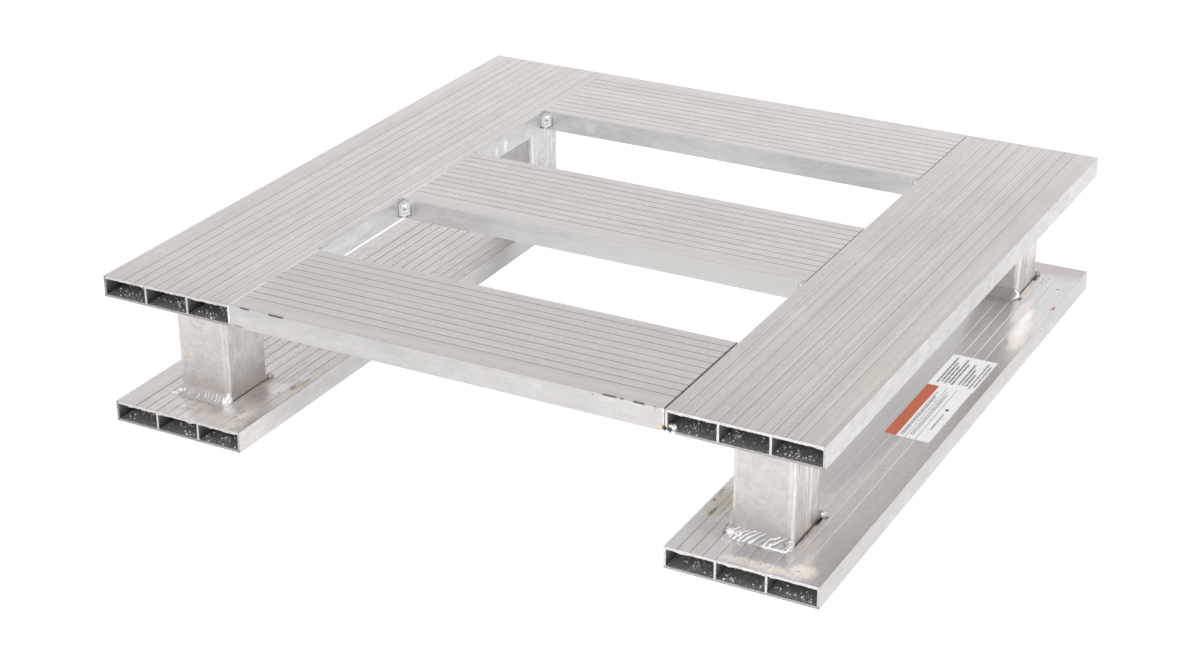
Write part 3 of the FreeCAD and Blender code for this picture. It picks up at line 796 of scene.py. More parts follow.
plank("plank_runner_left", "base_runner_left", "y", -HALF, 1, -HALF, 2 * HALF, 0.0,
      plank_mats("f", 6, ((0.77, 0.745, 0.725), (0.73, 0.69, 0.67)), (tuple(c * 0.90 for c in SIDE_A),
                 tuple(c * 0.90 for c in SIDE_B)), spots=SPOTS["runner_left"], groove=0.54,
                 foot_lines=(POSTS["front_left"], POSTS["rear_left"]), fleck=0.07, mottle=0.07, lip=0.17,
                 fades=((170, 235, 1.0, 0.885), (365, 400, 1.0, 1.13)),
                 # glow: patches that glow with emission, painted light
                 glow=(((-272, -374, Z_TOP), (62, 26, 5), 0.20, 0.75), ((-262, -338, Z_TOP), (42, 30, 5), 0.09, 0.6),
                       ((-249, -350, Z_TOP), (6, 14, 5), 0.26, 0.3), ((-306, -353, Z_TOP), (30, 14, 5), 0.16, 0.8)),
                 side_mottle=0.07, cut=CUT_DULL, side_patchy=(0.12, 0.040), die=0.040, lit_wall=-1,
                 side_fades=((20, 95, 1.32, 1.0), (430, 490, 1.0, 0.72), (515, 560, 1.0, 1.36))), 6, torn=1.35)
plank("plank_runner_right", "base_runner_right", "y", HALF, -1, -HALF, 2 * HALF, 0.0,
      plank_mats("g", 7, ((0.80, 0.805, 0.815), (0.79, 0.785, 0.785)), spots=SPOTS["runner_right"], groove=0.30,
                 rough=0.33, foot_lines=(POSTS["front_right"], POSTS["rear_right"]), fleck=0.04, mottle=0.05,
                 side_mottle=0.06, wavy=0.3, lip=0.05, fades=((50, 130, 1.0, 1.14), (590, 640, 1.0, 0.86)),
                 # glow: patches that glow with emission, painted light
                 side_patchy=(0.12, 0.040), die=0.012, lit_wall=1, glow=(
                     ((358.5, 226, Z_TOP), (9, 38, 5), 0.36, 0.7, 0, 24.7), ((364, 197, Z_TOP), (12, 38, 5), 0.35, 0.5, 0, 24.7),
                     ((371, 166, Z_TOP), (10, 28, 5), 0.28, 0.35, 0, 24.7), ((350, 240, Z_TOP), (9, 46, 5), 0.12, 0.6, 25, 37.2),
                     ((335, 160, Z_TOP), (34, 60, 5), 0.05, 1.0, 26, 57),
                     ((328, -373, Z_TOP), (40, 11, 5), 0.26, 0.3), ((357, -364, Z_TOP), (17, 18, 5), 0.28, 0.3),
                     ((352, -330, Z_TOP), (7, 16, 5), 0.05, 0.2), ((298, -372, Z_TOP), (22, 9, 5), 0.20, 0.3))), 7)

# ------------------------------------------------------------------ swarf lying in the cells' mouths
def swarf():
    rng = random.Random(41)
    sh = Shape()
    for pname, wide, to, z in (("sl", -HALF, 1, Z_DECK), ("sr", HALF, -1, Z_DECK), ("rl", -HALF, 1, 0.0),
                               ("rr", HALF, -1, 0.0)):
        for end in (0, 1):
            for c in range(3):
                u0 = WALL + c * (CELL + WEB)
                centre = [(rng.uniform(u0 + 5, u0 + CELL - 5), rng.uniform(2, 24)) for _ in range(4)]
                for k in range(60):
                    if rng.random() < 0.55:
                        cu, cw = rng.choice(centre)
                        u, w = rng.gauss(cu, 3.4), abs(rng.gauss(cw, 3.0)) + 1.2
                    else:
                        u, w = rng.uniform(u0 + 1, u0 + CELL - 1), rng.uniform(1.2, 33)
                    u = min(max(u, u0 + 1.6), u0 + CELL - 1.6)
                    w = max(w, 1.5)
                    half = rng.choice((0.22, 0.26, 0.3, 0.42, 0.55)) * rng.uniform(0.95, 1.55)
                    if rng.random() < 0.07:
                        half = rng.uniform(0.75, 1.05)
                    tall = half * rng.uniform(1.0, 1.9)
                    a = rng.uniform(-0.9, 0.9)
                    ca, sa = math.cos(a), math.sin(a)
                    lean = rng.uniform(0.25, 0.8)
                    rows = []
                    for h, wide_, back in ((0.0, 0.75, 0.0), (0.4, 1.0, 0.25), (0.8, 0.85, 0.7), (1.0, 0.35, 1.0)):
                        row = []
                        for side, th in ((-1, 0), (1, 0), (1, 0.12), (-1, 0.12)):
                            px, py = side * half * wide_, back * lean * tall + th
                            pu, pw = u + px * ca - py * sa, w + px * sa + py * ca
                            pw = max(pw, 0.4)
                            pv = WALL + 0.02 + h * tall
                            y = -HALF + pw if end == 0 else HALF - pw
                            row.append(sh.point((wide + to * pu, y, z + pv), (pu, pw, pv)))
                        rows.append(row)
                    for r0, r1 in zip(rows, rows[1:]):
                        for i in range(4):
                            j = (i + 1) % 4
                            sh.face(r0[i], r0[j], r1[j], r1[i])
                    sh.face(*rows[0][::-1])
                    sh.face(*rows[-1])
    n = Net("swarf_bright")
    g = n.noise(n.vmul(n.mm(), (0.8, 0.8, 0.8)), 1.0, 2)
    n.p.inputs["Metallic"].default_value = 0.1
    mat = n.finish(n.scale_colour((1.0, 0.99, 0.98), n.add(0.75, n.mul(g, 0.5))), n.add(0.25, n.mul(g, 0.3)))
    sh.build("swarf_chips", [mat], sharp=30)


swarf()


# ------------------------------------------------------------------ posts
def post_mat(name, seed, base, tint, streak, dim, cx, cy, marks=(), corner_highlight_top=1.0):
    """Tube sanded with a swirling pad on its front and back, with upright rub marks on its other two faces. dim is
    the shade of those two against the front."""
    n = Net(name)
    true = n.mm()
    pos = n.vadd(true, (seed * 91.0, seed * 53.0, 0))
    x, y, z = n.split(true)
    nx, ny, nz = n.split(n.normal())
    side = n.map(n.math("ABSOLUTE", nx), 0.35, 0.75)
    # angle round the rounded corner, 0 on the front and back, 90 degrees on the two sides
    dx = n.math("MAXIMUM", n.math("SUBTRACT", n.math("ABSOLUTE", n.math("SUBTRACT", x, cx)), POST_W / 2 - POST_R), 0.0)
    dy = n.math("MAXIMUM", n.math("SUBTRACT", n.math("ABSOLUTE", n.math("SUBTRACT", y, cy)), POST_D / 2 - POST_R), 0.0)
    turn = n.math("DEGREES", n.math("ARCTAN2", dx, dy))
    # a faint painted highlight over the rounded corners, and below, painted highlight lines along them
    band = n.mul(n.map(turn, 8, 22), n.map(turn, 86, 74))
    shift = n.mul(n.math("SUBTRACT", n.noise(n.vmul(pos, (0.02, 0.02, 0.06)), 1.0, 3, 0.6), 0.5), 16)
    line = n.map(n.math("ABSOLUTE", n.math("SUBTRACT", n.add(turn, shift), 60)), 13, 5)
    corner_highlight_2 = n.map(n.math("ABSOLUTE", n.math("SUBTRACT", n.add(turn, shift), 18)), 8, 3)
    line = n.mul(line, n.map(n.noise(n.vmul(pos, (0.3, 0.3, 0.09)), 1.0, 2), 0.30, 0.50, 0.35, 1.0))
    # swirls: rings about scattered centres
    warp = n.vadd(pos, n.vmul(n.join(n.noise(n.vmul(pos, (0.03, 0.03, 0.03)), 1.0, 1), 0.0,
                                     n.noise(n.vmul(pos, (0.035, 0.03, 0.035)), 1.0, 1)), (18, 0, 18)))
    ring1 = n.math("SINE", n.mul(n.voronoi(n.vmul(warp, (0.030, 0.03, 0.030)), 1.0), 165.0))
    ring2 = n.math("SINE", n.mul(n.voronoi(n.vmul(n.vadd(warp, (31, 7, 13)), (0.022, 0.022, 0.022)), 1.0), 240.0))
    swirl = n.add(n.mul(ring1, 0.5), n.mul(ring2, 0.5))
    swirl = n.mul(swirl, n.map(n.noise(n.vmul(pos, (0.05, 0.05, 0.05)), 1.0, 2), 0.38, 0.62, 0.25, 1.0))
    scrape = n.noise(n.vmul(n.vadd(pos, n.vmul(n.join(0.0, 0.0, n.noise(n.vmul(pos, (0.02, 0.02, 0.0)), 1.0, 1)),
                                               (0, 0, 60))), (0.045, 0.045, 0.55)), 1.0, 4, 0.7, 0.7)
    cloud = n.noise(n.vmul(pos, (0.035, 0.035, 0.03)), 1.0, 4, 0.6, 0.5)
    patch = n.noise(n.vmul(pos, (0.11, 0.11, 0.08)), 1.0, 4, 0.65, 0.7)
    grain = n.noise(n.vmul(pos, (1.1, 1.1, 1.1)), 1.0, 4, 0.8)
    up_lines = n.noise(n.vmul(pos, (0.85, 0.85, 0.012)), 1.0, 3, 0.75)
    wide_lines = n.noise(n.vmul(pos, (0.28, 0.28, 0.010)), 1.0, 3, 0.6, 0.9)
    bright = n.map(wide_lines, 0.50, 0.62)
    dark = n.map(wide_lines, 0.46, 0.36)
    front = n.math("SUBTRACT", 1.0, side)
    level = n.add(0.94, n.mul(n.math("SUBTRACT", grain, 0.5), 0.30))
    level = n.add(level, n.mul(n.mul(swirl, 0.05), front))
    level = n.add(level, n.map(patch, 0.34, 0.66, -0.085, 0.085))
    level = n.math("SUBTRACT", level, n.mul(n.mul(n.map(scrape, 0.54, 0.66), front), 0.085))
    level = n.add(level, n.mul(n.mul(n.map(scrape, 0.44, 0.36), front), 0.06))
    level = n.add(level, n.mul(n.mul(n.math("SUBTRACT", up_lines, 0.5), 0.34 * streak), side))
    level = n.add(level, n.mul(n.mul(bright, side), 0.34 * streak))
    level = n.math("SUBTRACT", level, n.mul(n.mul(dark, side), 0.24 * streak))
    level = n.mul(level, n.fmix(side, 1.0, dim))
    level = n.mul(level, n.add(1.0, n.mul(band, 0.04)))
    colour = n.scale_colour(n.mix(n.map(cloud, 0.35, 0.68), base, tint), level)
    colour = n.mix(n.mul(n.map(patch, 0.52, 0.64), 0.30), colour, (0.80, 0.70, 0.665))
    # painted highlight lines on the rounded corners, fading to corner_highlight_top towards the top
    line = n.mul(line, n.map(z, Z_TOP + 25, Z_TOP + 80, 1.0, corner_highlight_top))
    colour = n.mix(n.mul(line, 0.75), colour, (0.99, 0.985, 0.98))
    colour = n.mix(n.mul(corner_highlight_2, 0.30), colour, (0.97, 0.96, 0.95))
    # heat colour just above the foot; below the head, painted shade from the deck above
    wob = n.noise(n.vmul(pos, (0.12, 0.12, 0.12)), 1.0, 4, 0.7)
    zz = n.add(z, n.mul(n.math("SUBTRACT", wob, 0.5), 14))
    foot = n.mul(n.map(zz, Z_TOP + 19, Z_TOP + 11), n.map(cloud, 0.40, 0.6, 0.35, 1.0))
    colour = n.mix(n.mul(foot, 0.32), colour, (0.66, 0.57, 0.51))
    head = n.map(zz, Z_DECK - 16, Z_DECK - 9)
    colour = n.mix(n.mul(head, 0.30), colour, (0.52, 0.48, 0.45))
    rgh = n.add(0.38, n.mul(cloud, 0.16))
    rgh = n.math("SUBTRACT", rgh, n.mul(n.mul(bright, side), 0.10))
    rgh = n.math("SUBTRACT", rgh, n.mul(band, 0.03))
    for centre, radii, shade, amount, kind in marks:
        m = n.mul(n.spot(true, centre, radii, 0.8, wob, 1.2), amount)
        if kind == "streak":
            m = n.mul(m, n.map(up_lines, 0.44, 0.58))
        elif kind == "broken":
            m = n.mul(m, n.map(n.noise(n.vmul(pos, (0.35, 0.35, 0.45)), 1.0, 4, 0.7), 0.42, 0.56))
        colour = n.mix(m, colour, shade)
    nrm = n.bump(n.add(n.mul(grain, 0.4), n.mul(swirl, n.math("SUBTRACT", 0.35, n.mul(side, 0.35)))), 0.5, 0.05)
    nrm = n.bump(n.mul(n.add(n.mul(up_lines, 0.4), wide_lines), side), 0.6 * streak, 0.30, nrm)
    return n.finish(colour, rgh, nrm)


POST_LOOK = {
    "front_left": (1, (0.71, 0.678, 0.655), (0.745, 0.708, 0.685), 0.16, 0.90,
                   [((-275.8, -290, Z_TOP + 70), (4, 24, 26), (0.50, 0.47, 0.45), 0.35, "broken")]),
    "front_right": (2, (0.78, 0.745, 0.72), (0.82, 0.785, 0.76), 1.0, 0.90,
                    [((333.5, -292, Z_TOP + 48), (3, 10, 44), (1.0, 0.99, 0.98), 0.95, "streak"),
                     ((333.5, -281, Z_TOP + 4), (3, 15, 13), (0.42, 0.32, 0.18), 0.85, "broken"),
                     # painted shadow in the gap at the post's lower rear corner
                     ((333.5, -270, Z_TOP + 8), (3, 5, 10), (0.12, 0.10, 0.09), 0.7, ""),
                     ((333.5, -276, Z_TOP + 30), (3, 6, 18), (0.60, 0.40, 0.36), 0.45, "streak")]),
    "rear_left": (3, (0.66, 0.665, 0.67), (0.72, 0.72, 0.72), 0.3, 1.0, ()),
    "rear_right": (4, (0.76, 0.735, 0.715), (0.80, 0.775, 0.76), 1.1, 1.0, ()),
}
for key, (seed_, base_, tint_, streak_, dim_, marks_) in POST_LOOK.items():
    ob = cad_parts["post_" + key]
    ob = ob if hasattr(ob, "material_slots") else bpy.data.objects[ob]
    mat = post_mat("post_" + key + "_skin", seed_, base_, tint_, streak_, dim_, *POSTS[key], marks_,
                   {"front_left": 0.25, "rear_right": 0.30}.get(key, 1.0))
    if not ob.material_slots:
        ob.data.materials.append(mat)
    for s in ob.material_slots:
        s.link = "OBJECT"
        s.material = mat


# ------------------------------------------------------------------ weld beads
def weld_mat(name, body, crest=(0.98, 0.98, 0.98), rough=0.28, metallic=0.5, crest_glow=0.0):
    """Rippled bead. wear is the painted shade in the valleys, loc's third value the shine of the crests, a painted
    highlight in the crest colour, and spark makes that highlight glow: painted light.
    """
    n = Net(name, metallic)
    pos = n.mm()
    shade_wear = n.attr("shade_wear", "Fac")
    ls, lt, shine = n.split(n.attr("loc"))
    fine = n.noise(n.vmul(pos, (1.3, 1.3, 1.3)), 1.0, 4, 0.7)
    soot = n.map(n.noise(n.vmul(pos, (0.22, 0.22, 0.22)), 1.0, 3, 0.6), 0.5, 0.72)
    edge = n.math("ADD", shine, n.mul(n.math("SUBTRACT", fine, 0.5), 0.9))
    lit = n.mul(n.map(edge, 0.35, 0.75), n.map(shine, 0.02, 0.2))
    colour = n.mix(n.mul(soot, 0.35), body, (0.50, 0.47, 0.45))
    # painted highlight on the crests, then painted shade in the valleys
    colour = n.mix(lit, colour, crest)
    colour = n.mix(n.map(shade_wear, 0.10, 0.95, 0.0, 0.92), colour, (0.24, 0.23, 0.225))
    colour = n.scale_colour(colour, n.add(0.82, n.mul(fine, 0.36)))
    rgh = n.add(n.add(rough, n.mul(fine, 0.16)), n.mul(shade_wear, 0.15))
    rgh = n.math("SUBTRACT", rgh, n.mul(lit, 0.12))
    # the crests glow with emission: painted light
    if crest_glow:
        n.p.inputs["Emission Color"].default_value = (1, 1, 1, 1)
        n.put(n.p.inputs["Emission Strength"], n.mul(n.mul(lit, n.map(shine, 0.45, 0.8)), crest_glow))
    return n.finish(colour, rgh, n.bump(fine, 0.4, 0.10))


WELD = weld_mat("weld_bright", (0.74, 0.735, 0.73))
WELD_FLAT = weld_mat("weld_flat", (0.705, 0.665, 0.645), rough=0.40, metallic=0.3, crest_glow=0.19)
WELD_RIPPLE = weld_mat("weld_ripple", (0.70, 0.695, 0.69), crest_glow=0.22)
WELD_GREY = weld_mat("weld_grey", (0.53, 0.50, 0.485), rough=0.42, crest_glow=0.45)
WELD_DARK = weld_mat("weld_burnt", (0.07, 0.06, 0.05), (0.30, 0.27, 0.22), 0.5)


def bead(sh, org, e_out, e_up, e_s, length, leg=LEG, bulge=1.0, pitch=4.8, amp=0.4, slant=0.5, curve=2.2, seed=1,
         step=0.33, nt=18, wrap=0.0, dome=False, rise=2.4, second=0.0, glints=None, rest=0.0, swirl=0.0, crest=0.16,
         valley=1.35, low_lip=None):
    """A rippled bead along e_s. In the corner form its section runs from the toe at org + leg e_out to the toe at
    org + leg e_up. The dome form lies on a flat seam, leg wide and rise high. second is the strength of finer
    ripples between the main ones. glints (at, width, from, to) are painted highlights in bright arcs; without them each
    crest gets a painted highlight. crest is the width of that highlight, valley the narrowness of the painted shade
    between, low_lip (from, to) a stretch of painted highlight along the lower edge."""
    rng = random.Random(seed)
    org, e_out, e_up, e_s = (Vector(a) for a in (org, e_out, e_up, e_s))
    marks = [-2 * pitch]
    while marks[-1] < length + 3 * pitch:
        marks.append(marks[-1] + pitch * rng.uniform(0.72, 1.3))
    tilt = [rng.uniform(0.7, 1.3) for _ in marks]
    high = [rng.uniform(0.65, 1.25) for _ in marks]
    glow = [rng.choice((0.25, 0.8, 1.0, 1.0)) for _ in marks]
    ns = max(6, int(length / step))
    r_end = leg * 0.62
    rings = []
    for i in range(ns + 1):
        s = length * i / ns
        d = min(s, length - s)
        q = min(1.0, d / r_end)
        k = math.sqrt(max(0.0, 1 - (1 - q) ** 2))
        k = 0.04 + 0.96 * k
        lg = leg * (1 + 0.05 * wave(s, seed, 6.0) + 0.03 * wave(s, seed + 4, 2.1)) * (0.25 + 0.75 * k)
        back = 0.0
        if wrap and d < POST_R:
            back = min(wrap, POST_R - math.sqrt(max(0.0, POST_R ** 2 - (POST_R - d) ** 2)))
        ring = []
        for j in range(nt + 1):
            t = j / nt
            hump = 4 * t * (1 - t)
            ph = s + slant * (t - 0.5) * leg + curve * (hump - 0.5) + 0.5 * wave(s * 0.7 + t * 9, seed + 6, 3.0)
            ph += swirl * (wave(s + t * 5, seed + 21, 7.0) + 0.6 * wave(s * 1.3 - t * 8, seed + 25, 3.6))
            b = 0
            while b < len(marks) - 2 and marks[b + 1] < ph:
                b += 1
            fr = (ph - marks[b]) / (marks[b + 1] - marks[b])
            fr = min(max(fr, 0.0), 1.0)
            lobe = math.sin(math.pi * fr ** (0.82 * tilt[b])) ** 0.6 if 0 < fr < 1 else 0.0
            # dark is painted shade in the valleys and shine a painted highlight on the crests
            dark = max(0.0, 1 - lobe * valley) * (0.25 + 0.75 * hump)
            shine = math.exp(-((fr - 0.62) / crest) ** 2) * glow[b]
            if low_lip and low_lip[0] < s < low_lip[1] and t < 0.13:
                shine, dark = max(shine, 0.95), 0.0
            if second:
                f2 = (fr * 2) % 1.0
                lobe2 = math.sin(math.pi * f2) ** 0.6 if 0 < f2 < 1 else 0.0
                lobe = lobe * (1 - second) + lobe2 * second
                dark = max(dark, second * max(0.0, 1 - lobe2 * 1.6) * hump)
                shine = max(shine, second * 0.9 * math.exp(-((f2 - 0.6) / 0.2) ** 2))
            if glints is not None:
                shine = rest
                for at, width, t0, t1 in glints:
                    if t0 < t < t1:
                        fade = min(1.0, (t - t0) / 0.12, (t1 - t) / 0.12)
                        shine = max(shine, fade * math.exp(-((ph - at) / width) ** 2))
                dark *= 0.5
            h = amp * high[b] * (lobe - 0.45) * (0.35 + 0.65 * hump) * min(1.0, k * 1.4)
            if dome:
                w = (t - 0.5) * lg
                p = org + e_out * (w * (1 + 0.05 * lobe)) + e_up * (rise * k * hump ** 0.75 + h * hump - 0.12) + e_s * s
            else:
                toe = 0.28 * (lobe - 0.5)
                a, c = lg * (1 - t) + toe * (1 - t), lg * t + toe * t
                m = (bulge * k * hump + h) * 0.7071
                p = org + e_out * (a + m - back) + e_up * (c + m) + e_s * s
                if j == 0:
                    p -= e_up * 0.25
                if j == nt:
                    p -= e_out * 0.25
            ring.append(sh.point(p, (s, t * leg, shine * (0.5 + 0.5 * min(1.0, k * 1.3))), min(1.0, dark)))
        if dome:
            ring.append(sh.point(org - e_up * 0.35 + e_s * s))
        else:
            ring.append(sh.point(org - e_out * (0.5 + back) - e_up * 0.5 + e_s * s))
        rings.append(ring)
    n = nt + 2
    for a, b in zip(rings, rings[1:]):
        for i in range(n):
            j = (i + 1) % n
            sh.face(a[i], a[j], b[j], b[i])
    sh.face(*rings[0][::-1])
    sh.face(*rings[-1])


def blob(sh, centre, r, seed, squash=(1, 1, 1), seg=10, rows=6, shine=0.6, shade_wear=0.0, mat=0):
    """A small uneven ball of spatter. shine is a painted highlight on it, wear darkens it."""
    rng = random.Random(seed)
    cx, cy, cz = centre
    grid = []
    for i in range(1, rows):
        th = math.pi * i / rows
        row = []
        for j in range(seg):
            ph = math.tau * j / seg
            k = r * (1 + rng.uniform(-0.10, 0.10))
            row.append(sh.point((cx + squash[0] * k * math.sin(th) * math.cos(ph),
                                 cy + squash[1] * k * math.sin(th) * math.sin(ph), cz + squash[2] * k * math.cos(th)),
                                (0, 0, shine * rng.uniform(0.6, 1.2)), shade_wear))
        grid.append(row)
    top = sh.point((cx, cy, cz + squash[2] * r), (0, 0, shine), shade_wear)
    low = sh.point((cx, cy, cz - squash[2] * r), (0, 0, shine), shade_wear)
    for a, b in zip(grid, grid[1:]):
        for j in range(seg):
            q = (j + 1) % seg
            sh.face(a[j], b[j], b[q], a[q], mat=mat)
    for j in range(seg):
        q = (j + 1) % seg
        sh.face(top, grid[0][j], grid[0][q], mat=mat)
        sh.face(low, grid[-1][q], grid[-1][j], mat=mat)


def rod(sh, pts, radii, shine, seg=8):
    """A round bar through the points, closed at both ends. shine is a painted highlight along it."""
    pts = [Vector(q) for q in pts]
    rings = []
    for i, (q, r) in enumerate(zip(pts, radii)):
        d = (pts[min(i + 1, len(pts) - 1)] - pts[max(i - 1, 0)]).normalized()
        a = d.cross(Vector((0.3, -0.8, 0.52))).normalized()
        b = d.cross(a)
        rings.append([sh.point(q + (a * math.cos(math.tau * k / seg) + b * math.sin(math.tau * k / seg)) * r,
                               (0, 0, shine)) for k in range(seg)])
    for p, q in zip(rings, rings[1:]):
        for k in range(seg):
            m = (k + 1) % seg
            sh.face(p[k], p[m], q[m], q[k])
    sh.face(*rings[0][::-1])
    sh.face(*rings[-1])


def slab(sh, lo, hi, shade_wear):
    """A plain bar with square corners between two points."""
    ids = [sh.point((x, y, z), (0, 0, 0), shade_wear) for x in (lo[0], hi[0]) for y in (lo[1], hi[1]) for z in (lo[2], hi[2])]
    for f in ((0, 1, 3, 2), (4, 6, 7, 5), (0, 4, 5, 1), (2, 3, 7, 6), (0, 2, 6, 4), (1, 5, 7, 3)):
        sh.face(*[ids[i] for i in f])


# glints and low_lip below are painted highlights on the beads
FOOT = {   # front bead
    "front_left": dict(bulge=-0.5, pitch=4.4, amp=0.16, slant=0.1, curve=-3.4,
                       glints=[(3.0, 2.6, 0.30, 0.62), (14, 0.7, 0.15, 0.75), (17.5, 0.5, 0.3, 0.8), (25.5, 0.7, 0.1, 0.7),
                               (33, 0.8, 0.2, 0.85), (37, 0.6, 0.15, 0.9), (41, 0.6, 0.1, 0.8), (46.5, 0.9, 0.1, 0.9),
                               (50.5, 0.8, 0.1, 0.85), (54.5, 0.5, 0.3, 0.9), (61.0, 2.2, 0.0, 1.0)]),
    "front_right": dict(bulge=0.75, pitch=5.6, amp=0.75, slant=-1.45, curve=1.2, swirl=1.9, crest=0.25, valley=1.26,
                        low_lip=(38, 60)),
    "rear_left": dict(bulge=0.8, pitch=5.2, amp=0.40, slant=-0.4, curve=2.4),
    "rear_right": dict(bulge=-0.4, pitch=4.6, amp=0.15, slant=-0.4, curve=2.4, glints=[]),
}
SPATTER = {"front_right": [(271.5, -345.6, 0.75), (279.5, -345.0, 0.6), (268.5, -343.5, 0.45), (274.8, -346.6, 0.4)]}
for idx, (key, (cx, cy)) in enumerate(POSTS.items()):
    sh = Shape()
    x0, yf, yb = cx - POST_W / 2, cy - POST_D / 2, cy + POST_D / 2
    bead(sh, (x0 - 1.5, yf, Z_TOP), (0, -1, 0), (0, 0, 1), (1, 0, 0), POST_W + 3.0, LEG, seed=11 + idx, step=0.3,
         nt=20, wrap=2.4, **FOOT[key])
    bead(sh, (x0, yb, Z_TOP), (0, 1, 0), (0, 0, 1), (1, 0, 0), POST_W, LEG, 0.9, 5.0, 0.4, -0.5, 2.0, seed=31 + idx,
         step=0.5, nt=14, wrap=6.0)
    # the rear bead's ends run a little round the post's corners
    # lit is the painted highlight on these end blobs
    big, lit = {"front_left": (0.62, 0.0), "front_right": (0.92, 0.25)}.get(key, (0.7, 0.3))
    for x, k in ((cx - 30.5, 0), (cx + 30.8, 1)):
        blob(sh, (x, yb + 1.2, Z_TOP + 3.0 * big), 4.1 * big, 200 + idx * 2 + k, (0.95, 1.15, 0.95), 16, 10, lit,
             0.12)
        blob(sh, (x + (1.2 if k else -1.2), yb + 5.0, Z_TOP + 1.6), 2.5 * big, 210 + idx * 2 + k, (1, 1, 0.9), 12, 8,
             lit * 0.5, 0.12)
    if key == "front_right":
        blob(sh, (cx + 31.6, yb - 1.6, Z_TOP + 4.6), 1.1, 220, (1, 1, 1), 10, 8, 1.0)
        blob(sh, (cx + 33.2, yb + 0.2, Z_TOP + 1.8), 0.9, 221, (1, 1, 1), 10, 8, 1.0)
    rng = random.Random(70 + idx)
    for k in range(7):
        x = cx + rng.uniform(-38, 38)
        y = cy - POST_D / 2 - rng.uniform(10.5, 17)
        r = rng.uniform(0.25, 0.50)
        blob(sh, (x, y, Z_TOP + r * 0.4), r, 100 + 10 * idx + k, (1, 1, 0.7), 8, 5)
    for k, (x, y, r) in enumerate(SPATTER.get(key, ())):
        blob(sh, (x, y, Z_TOP + r * 0.5), r, 150 + k, (1, 1, 0.8), 10, 6, 1.0)
    # the white of these blobs is a painted highlight
    if key == "front_right":
        blob(sh, (cx - 27.5, yf - 4.4, Z_TOP + 4.4), 3.9, 181, (1.0, 0.9, 0.95), 18, 12, 1.0)
        blob(sh, (cx - 19.4, yf - 4.6, Z_TOP + 4.5), 3.3, 182, (1.0, 0.9, 1.0), 18, 12, 0.9)
        blob(sh, (cx - 19.2, yf - 7.1, Z_TOP + 6.4), 0.9, 183, (1.0, 0.7, 1.0), 10, 8, 0.0, 0.8)
        blob(sh, (cx + 25.4, yf - 6.2, Z_TOP + 6.8), 1.1, 184, (1.3, 0.7, 0.8), 10, 8, 0.0, 0.8)
    if key == "front_left":
        blob(sh, (cx + 28.2, yf - 5.2, Z_TOP + 3.4), 4.3, 171, (0.75, 0.85, 1.1), 16, 10, 1.0)
        blob(sh, (cx + 29.4, yf - 1.2, Z_TOP + 7.2), 3.4, 172, (0.6, 0.8, 1.3), 14, 10, 1.0)
        blob(sh, (cx - 32.6, yf - 7.6, Z_TOP + 0.7), 2.1, 173, (1.8, 0.9, 0.6), 12, 8, 1.0)
        blob(sh, (cx - 27.4, yf - 4.6, Z_TOP + 4.0), 2.1, 174, (1.0, 0.9, 1.1), 12, 8, 1.0)
        blob(sh, (cx - 22.6, yf - 3.4, Z_TOP + 5.0), 1.6, 175, (1.2, 0.9, 0.9), 12, 8, 1.0)
    if key == "rear_right":
        # a round bar with a painted highlight: the bright crescent at the end of the front bead
        rod(sh, ((330.5, 276.6, 31.0), (334.3, 274.8, 29.4), (336.3, 272.5, 27.4), (336.0, 270.5, 25.6),
                 (334.0, 269.2, 24.4), (331.2, 268.0, 23.0)), (0.4, 1.0, 1.35, 1.2, 0.6, 0.2), 1.0)
    sh.build("bead_foot_" + key, [{"front_left": WELD_FLAT, "front_right": WELD_RIPPLE,
                                   "rear_right": WELD_GREY}.get(key, WELD)], ("weld_foot_" + key,), sharp=60)
    sh = Shape()
    for y, out, sd in ((yf, -1, 51), (yb, 1, 61)):
        bead(sh, (x0, y, Z_DECK), (0, out, 0), (0, 0, -1), (1, 0, 0), POST_W, LEG, 0.8, 5.0, 0.38, 0.4, 2.2,
             seed=sd + idx, step=0.55, nt=14, wrap=6.0)
    sh.build("bead_head_" + key, [WELD], ("weld_head_" + key,), sharp=60)

